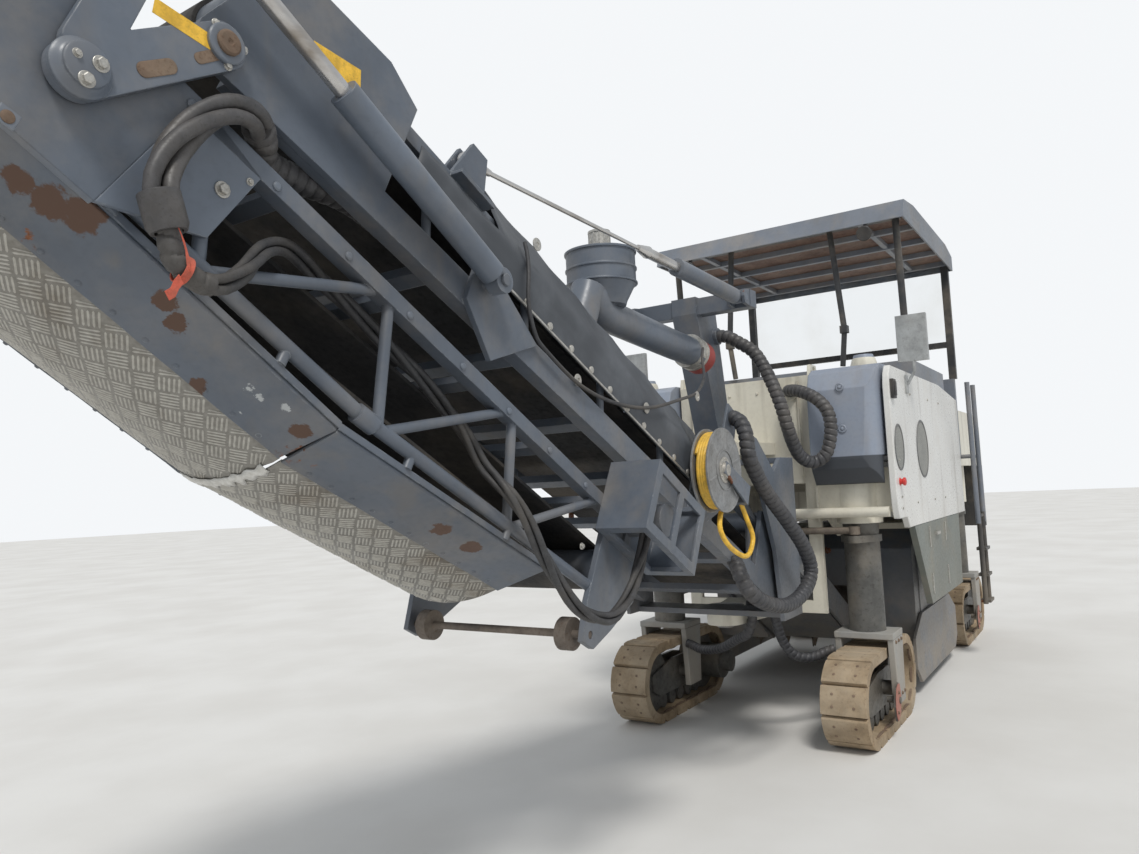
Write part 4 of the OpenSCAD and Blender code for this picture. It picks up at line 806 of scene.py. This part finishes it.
# Red strap round the outer hose, with its two tails
strap = Piece("outer_conveyor")
way = Vector((0.97, 0.02, -0.2)).normalized()
strap.turn((352, 515, 230), way, [(-9, 29), (-9, 32), (9, 32), (9, 29)], 24, ring=True)
tails = (([(348, 545, 236), (330, 549, 214), (306, 548, 190), (284, 545, 172), (262, 543, 150)], 8),
         ([(352, 530, 258), (349, 531, 276), (352, 528, 294), (346, 526, 308)], 9))
for tail, wide in tails:
    corners = ((-wide, 0), (wide, 0), (wide, 2.5), (-wide, 2.5))
    strap.rings([[Vector(p) + Vector((x, y, x * 0.6)) for x, y in corners] for p in tail])
strap.finish("hose_strap", strap_mat, "hose_yellow", bevel=0.0008)

# Hose reel: two ribbed flanges, core with its centre plate, and windings in two layers
REEL = Vector((1225, 540, 88))
for k, (name, y) in enumerate((("reel_flange_inner", -43), ("reel_flange_outer", 33))):
    flange = Piece("reel")
    flange.turn(REEL + Vector((0, y, 0)), (0, 1, 0),
                [(2, 62), (2, 186), (0, 192), (0, 199), (10, 199), (10, 192), (8, 186), (8, 62)], 56, ring=True)
    flange.turn(REEL + Vector((0, y + 8, 0)), (0, 1, 0), [(0, 96), (0, 92), (4, 92), (4, 96)], 40, ring=True)
    for i in range(6):
        a = tau * i / 6 + 0.3
        e, g = Vector((cos(a), 0, sin(a))), Vector((-sin(a), 0, cos(a)))
        at = REEL + Vector((0, y + (7 if k else -1), 0))
        rib = ((-7, 0), (7, 0), (4, 3.2), (-4, 3.2))
        flange.rings([[at + e * r + g * w + Vector((0, h, 0)) for w, h in rib] for r in (98, 180)])
    flange.finish(name, reel_mat, bevel=0.0008, replaces="hose_reel")
core = Piece("reel")
core.turn(REEL + Vector((0, -36, 0)), (0, 1, 0), [(0, 122), (70, 122)], 40)
core.turn(REEL + Vector((0, 41, 0)), (0, 1, 0), [(0, 62), (3, 62), (6, 40), (16, 38), (20, 27)], 28)
for c, q in circle(6):
    core.bolt(REEL + Vector((52 * c, 43, 52 * q)), (0, 1, 0), 13)
core.finish("reel_core", bolt_mat, replaces="hose_reel")
winding = Piece("reel")
# Two layers of turns: turns, steps a turn, radius, start and travel along the axis, and the hose's radius and sides
for turns, steps, r, y, travel, thick, sides in ((4, 48, 171, -25, 50, 12.5, 12), (5, 40, 150, -26, 52, 12, 10)):
    angles = [tau * k / steps for k in range(turns * steps + 1)]
    line = [REEL + Vector((cos(a) * r, y + travel * k / (turns * steps), sin(a) * r)) for k, a in enumerate(angles)]
    winding.tube(line, thick, sides)
winding.finish("reel_windings", yellow_mat, "hose_yellow", replaces="hose_reel")

# Side panels: x, half width and height over width of the perforated oval screens, their middle's height, and the outline
SCREENS, SCREEN_Z = ((30, 122, 1.15), (-690, 185, 1.05)), 1760
PANEL = [(150, 1320), (180, 1400), (190, 1500), (190, 2150), (170, 2215), (120, 2270), (-1500, 2270), (-2300, 2200),
         (-2300, 1250), (-120, 1250), (-60, 1320)]


def side_panel(s, side):
    """A white panel with its oval screens and their rims."""
    skin = Piece()
    skin.plate(PANEL, s * PANEL_IN, s * PANEL_OUT)
    skin.finish("side_panel_" + side, white, "frame_cream", bevel=0.006, replaces="side_panels")
    screen = Piece()
    rims = Piece()
    for x, r, tall in SCREENS:
        ways = circle(48)
        screen.plate([(x + r * 0.99 * c, SCREEN_Z + r * tall * 0.99 * q) for c, q in ways], s * 978, s * 981)
        section = ((-7, 978), (-7, 984), (5, 984), (7, 979), (0, 978))
        rims.rings([[(x + (r + dr) * c, s * y, SCREEN_Z + (r * tall + dr) * q) for dr, y in section] for c, q in ways],
                   closed=True)
    screen.finish("panel_screens_" + side, mesh_mat, "dark_steel")
    rims.finish("panel_screen_rims_" + side, rim_mat, "dark_steel")


def panel_fittings(s, side):
    """Stop button, bolts, hinges and handle, and the black socket on the panel's front edge."""
    small = Piece()
    small.turn((85, s * PANEL_SEAT, 1545), (0, s, 0), [(0, 24), (6, 24), (8, 17), (18, 17), (22, 25), (34, 25), (38, 16)], 24)
    small.finish("stop_button_" + side, signal_mat, "frame_cream", bevel=0.001)
    hard = Piece()
    for x, z in ((60, 1680), (60, 1450), (60, 1380), (-400, 1400), (-400, 2120), (-1000, 2120), (-1000, 1400),
                 (-1420, 2120), (-1420, 1400)):
        hard.bolt((x, s * 979.5, z), (0, s, 0), 20)
    for x in (-700, -1300):
        hard.box((x - 8, s * PANEL_SEAT, 760), (x + 8, s * 986, 900))
        hard.box((x - 8, s * PANEL_SEAT, 1080), (x + 8, s * 986, 1220))
    hard.box((-1020, s * PANEL_SEAT, 1150), (-900, s * 998, 1170))
    hard.finish("panel_fittings_" + side, bolt_mat, "dark_steel", bevel=0.001)
    socket = Piece()
    socket.box((95, s * PANEL_SEAT, 2060), (165, s * 1003, 2180))
    socket.box((110, s * 1002, 2075), (150, s * 1010, 2165))
    socket.finish("panel_socket_" + side, black, "control_black", bevel=0.004)


for side in SIDES:
    side_panel(*side)
    panel_fittings(*side)


def tank_cover(s, side):
    """Recessed bolts and filler neck of a tank cover."""
    bolts = Piece()
    for z in (2150, 1890):
        at = Vector((261.5, s * 700, z))
        bolts.turn(at, (1, 0, 0), [(-2, 27), (0.6, 27), (2.4, 22), (0.8, 15), (0.8, 10), (5, 10), (7, 6)], 24)
    bolts.finish("tank_bolts_" + side, plastic, "tank_plastic")
    neck = Piece()
    neck.turn((-20, s * 790, 2285), (0, 0, 1), [(0, 87), (8, 88), (60, 72), (64, 66)], 32)
    neck.turn((-20, s * 790, 2349), (0, 0, 1), [(0, 62), (14, 62), (19, 56), (20, 20)], 20)
    neck.finish("tank_filler_" + side, cream, "frame_cream", bevel=0.002)


for side in SIDES:
    tank_cover(*side)


def track_frame(name, x, y):
    """Red guard, frame bolts and plain sticker on the track's outer side."""
    out = 1 if y > 0 else -1
    guard = Piece(name + "_track")
    outline = [(112, 58), (150, 62), (190, 42), (222, -10), (232, -60), (224, -110), (200, -148), (165, -140),
               (122, -112), (100, -68), (92, -20), (98, 24)]
    guard.plate([(x + p, TRACK_Z + q) for p, q in outline], y + out * 189.5, y + out * 193)
    guard.finish("track_guard_" + name, red_paint, bevel=0.001)
    zinc = Piece(name + "_track")
    for p, q in ((150, 10), (190, -100)):
        zinc.bolt((x + p, y + out * 193, TRACK_Z + q), (0, out, 0), 22)
    for p in (-70, 0, 70):
        zinc.bolt((x + p, y + out * 178, 560), (0, out, 0), 26)
        zinc.bolt((x + p, y + out * 178, 240), (0, out, 0), 26)
    zinc.finish("track_frame_bolts_" + name, rusty)
    mark = Piece(name + "_track")
    mark.plate([(x - 40, 400), (x + 20, 400), (x + 20, 460), (x - 40, 460)], y + out * 178, y + out * 178.8)
    mark.finish("track_sticker_" + name, yellow_mat)


def on_loop(d):
    """The place round the track's loop at a distance along its shoes: x, z and the outward turn in radians."""
    half, arc = TRACK_AXLES / 2, pi * SHOE_R
    if d < TRACK_AXLES:
        u, w, t = half - d, -SHOE_R, 180
    elif d < TRACK_AXLES + arc:
        a = (d - TRACK_AXLES) / arc * pi
        u, w, t = -half - SHOE_R * sin(a), -SHOE_R * cos(a), 180 - degrees(a)
    elif d < 2 * TRACK_AXLES + arc:
        u, w, t = d - TRACK_AXLES - arc - half, SHOE_R, 0
    else:
        a = (d - 2 * TRACK_AXLES - arc) / arc * pi
        u, w, t = half + SHOE_R * sin(a), SHOE_R * cos(a), -degrees(a)
    return u, w, radians(t)


def track_links(name, x, y):
    """Four bolts on each shoe and two chain links under it. Shoes on the ground have no bolt heads."""
    links = Piece(name + "_track")
    pitch = (2 * TRACK_AXLES + tau * SHOE_R) / SHOE_N
    for i in range(SHOE_N):
        u, w, t = on_loop((i + 0.5) * pitch)
        ex, ez = Vector((cos(t), 0, sin(t))), Vector((-sin(t), 0, cos(t)))
        mid = Vector((x + u, y, TRACK_Z + w))
        for k in (-1, 1):
            for j in (-1, 1):
                p = mid + ex * (j * pitch * 0.2) + Vector((0, k * 62, 0)) + ez * 17
                if p.z > 40:
                    links.turn(p, ez, [(0, 9), (3.6, 9), (4.2, 6)], 6)
        for k in (-1, 1):
            p = mid + ez * (-30)
            ring = [ex * c * pitch * 0.46 + ez * q * 20 for c, q in circle(14)]
            links.rings([[p + q + Vector((0, k * yy, 0)) for q in ring] for yy in (104, 118)])
            links.turn(p + ex * pitch * 0.5 + Vector((0, k * 100, 0)), (0, k, 0), [(0, 13), (26, 13), (28, 9)], 10)
    links.finish("track_links_" + name, rusty, "track_steel")


for place in TRACKS:
    track_frame(*place)
    track_links(*place)

# Cable along the tarpaulin, and the eyelets beside it
cable_line = smooth(CABLE_ROUTE, 5)
cable = Piece("inner_conveyor")
cable.tube(cable_line, CABLE_D / 2, 10)
made = cable.finish("sensor_cable", hose_mat, "hose_black")
eyes = Piece("inner_conveyor")
for u, v in ((2325, -69), (1813, 102), (2746, 240), (1400, 400)):
    eyes.turn((u, 461 if v < 200 else 470, v), (0, 1, 0), [(0, 24), (3, 24), (5, 18), (5, 9), (2, 8)], 20)
eyes.finish("cover_eyelets", bolt_mat, "cover_black")

# Ribs and bolts on the front wall
face = Piece()
for y in (-380, 380):
    face.box((89, y - 6, 1600), (104, y + 6, 2240))
for z in (1640, 2180):
    for y in (-300, -100, 100, 300):
        face.bolt((90, y, z), (1, 0, 0), 22)
face.finish("front_body_ribs", cream, "frame_cream", bevel=0.002)

# Collar where the hoses of the fold meet the outer bundle
collar = Piece("outer_conveyor")
start = Vector(OUTER_ROUTE[0])
way = (Vector(OUTER_ROUTE[1]) - start).normalized()
collar.turn(start - way * 30, way, [(0, 34), (0, 44), (70, 44), (84, 38), (84, 29)], 28, ring=True)
collar.finish("outer_hose_collar", wrap_mat, "hose_black", bevel=0.001)

# Torn pale edge of the lid at its seam
place, long = lid_frame(LIDS[0])
torn = Piece("outer_conveyor", place)
rows = []
for k in range(41):
    y = -190 + k * 9.5
    a = 10 * waves(y * 0.04, 1, 2)
    b = 34 + 22 * waves(y * 0.05, 7, 4)
    curl = 7 + 2 * waves(y * 0.09, 3, 1)
    rows.append([on_arch(long - 4 + a, y, 4), on_arch(long + b * 0.6, y, curl), on_arch(long + b, y, 3)])
torn.add([p for row in rows for p in row],
         [(i * 3 + k, i * 3 + k + 1, i * 3 + k + 4, i * 3 + k + 3) for i in range(40) for k in (0, 1)])
torn.finish("lid_torn_edge", torn_mat, "tread_plate", solid=0.0015, replaces="outer_cover")

# Portals over the tracks, in their own grey
for name, x, y in TRACKS:
    arch = Piece(name + "_track")
    arch.box((x - 131.5, y - 179.5, 579.5), (x + 131.5, y + 179.5, 618.5))
    for k in (-1, 1):
        leg = [(-121.5, 580), (121.5, 580), (101.5, 324), (91.5, 182.5), (-91.5, 182.5), (-101.5, 324)]
        arch.plate([(x + p, q) for p, q in leg], y + k * 140.5, y + k * 179.5)
    arch.finish("portal_" + name, portal, bevel=0.005)

# Underside of the roof: the brown inner sheet, channels and two work lamps at the front edge
inner_sheet = Piece()
inner_sheet.box((-2640, -930, 3488), (-740, 930, 3499.8))
inner_sheet.finish("roof_lining", lining_mat, "roof_grey", bevel=0.003)
channels = Piece()
for x in (-2600, -2130, -1660, -1190, -760):
    channels.box((x - 22, -950, 3446), (x + 22, 950, 3489))
for y in (-640, 640):
    channels.box((-2620, y - 20, 3452), (-740, y + 20, 3489))
channels.finish("roof_channels", roof, "roof_grey", bevel=0.003)
lamps = Piece()
for y in (-700, 700):
    lamps.turn((-690, y, 3350), (1, 0, -0.25), [(-40, 30), (-10, 52), (22, 55), (26, 50), (24, 10)], 24)
    lamps.box((-735, y - 8, 3350), (-705, y + 8, 3498))
lamps.finish("roof_lamps", black, "control_black", bevel=0.001)

# Materials of the nodes, also of the replaced ones
def dress(material, *names):
    for name in names:
        for s in nodes[name].material_slots:
            s.material = material


dress(cream, "main_frame", "engine_hood")
dress(white, "side_panels")
dress(plastic, "tank_covers")
dress(slate, "drum_housing", "side_plate_left", "side_plate_right", "inner_section", "outer_section", "slew_mast",
      "receiving_conveyor", "drive_guard", "reel_bracket")
dress(slate_clean, "fold_arms", "fold_barrels", "luff_barrels", "dust_fan")
dress(roof, "canopy_roof", "operator_platform")
dress(dark, "engine", "rear_grille", "canopy_frame", "ladder_left", "ladder_right", "scraper_blade")
dress(black, "control_console")
dress(mirror_mat, "mirrors")
dress(column, "column_front_left", "column_front_right", "column_rear_left", "column_rear_right")
dress(track, "track_front_left", "track_front_right", "track_rear_left", "track_rear_right")
dress(worn, "milling_drum", "tie_rod_front", "tie_rod_rear", "support_wheels")
dress(chrome, "luff_rods", "fold_rods")
dress(belt, "inner_belt", "outer_belt")
dress(plate_dirt_and_shade_mat, "outer_cover")
dress(tarp_mat, "inner_cover")
dress(glass, "rear_window")
dress(yellow_mat, "hose_reel")
dress(low_panel, "lower_panels")
for made in nodes.values():
    made.data.shade_smooth()
    made.data.set_sharp_from_angle(angle=radians(30))

# Floor, soft light and a pale background
g = Graph("pale_floor")
shade = g.mix(g.range(g.noise(0.8, 6.0), 0.3, 0.7), (0.66, 0.65, 0.63), (0.72, 0.715, 0.7))
floor_mat = g.finish(shade, 0.9, g.noise(30.0), None, 0.1, 0.002)
mesh = bpy.data.meshes.new("floor")
FLOOR_R, FLOOR_SIDES = 60, 64
rim = [(FLOOR_R * c, FLOOR_R * q, 0.0) for c, q in circle(FLOOR_SIDES)]
mesh.from_pydata(rim, [], [tuple(range(FLOOR_SIDES))])
mesh.materials.append(floor_mat)
placed("floor", mesh)

world = bpy.data.worlds.new("studio")
scene.world = world
world.use_nodes = True
tree = world.node_tree
back = tree.nodes["Background"]
back.inputs["Color"].default_value = (0.93, 0.965, 1.0, 1.0)
back.inputs["Strength"].default_value = 0.62
seen = tree.nodes.new("ShaderNodeBackground")
seen.inputs["Color"].default_value = (0.93, 0.95, 0.97, 1.0)
seen.inputs["Strength"].default_value = 0.98
path = tree.nodes.new("ShaderNodeLightPath")
either = tree.nodes.new("ShaderNodeMath")
either.operation, either.use_clamp = "ADD", True
tree.links.new(path.outputs["Is Camera Ray"], either.inputs[0])
tree.links.new(path.outputs["Is Transmission Ray"], either.inputs[1])
blend = tree.nodes.new("ShaderNodeMixShader")
tree.links.new(either.outputs[0], blend.inputs[0])
tree.links.new(back.outputs[0], blend.inputs[1])
tree.links.new(seen.outputs[0], blend.inputs[2])
tree.links.new(blend.outputs[0], tree.nodes["World Output"].inputs["Surface"])
sun = bpy.data.lights.new("soft_sun", "SUN")
sun.energy, sun.angle, sun.color = 1.9, radians(14), (1.0, 0.97, 0.92)
placed("soft_sun", sun).rotation_euler = Vector((0.62, 0.55, 1.15)).to_track_quat("Z", "Y").to_euler()
scene.view_settings.view_transform = "Standard"
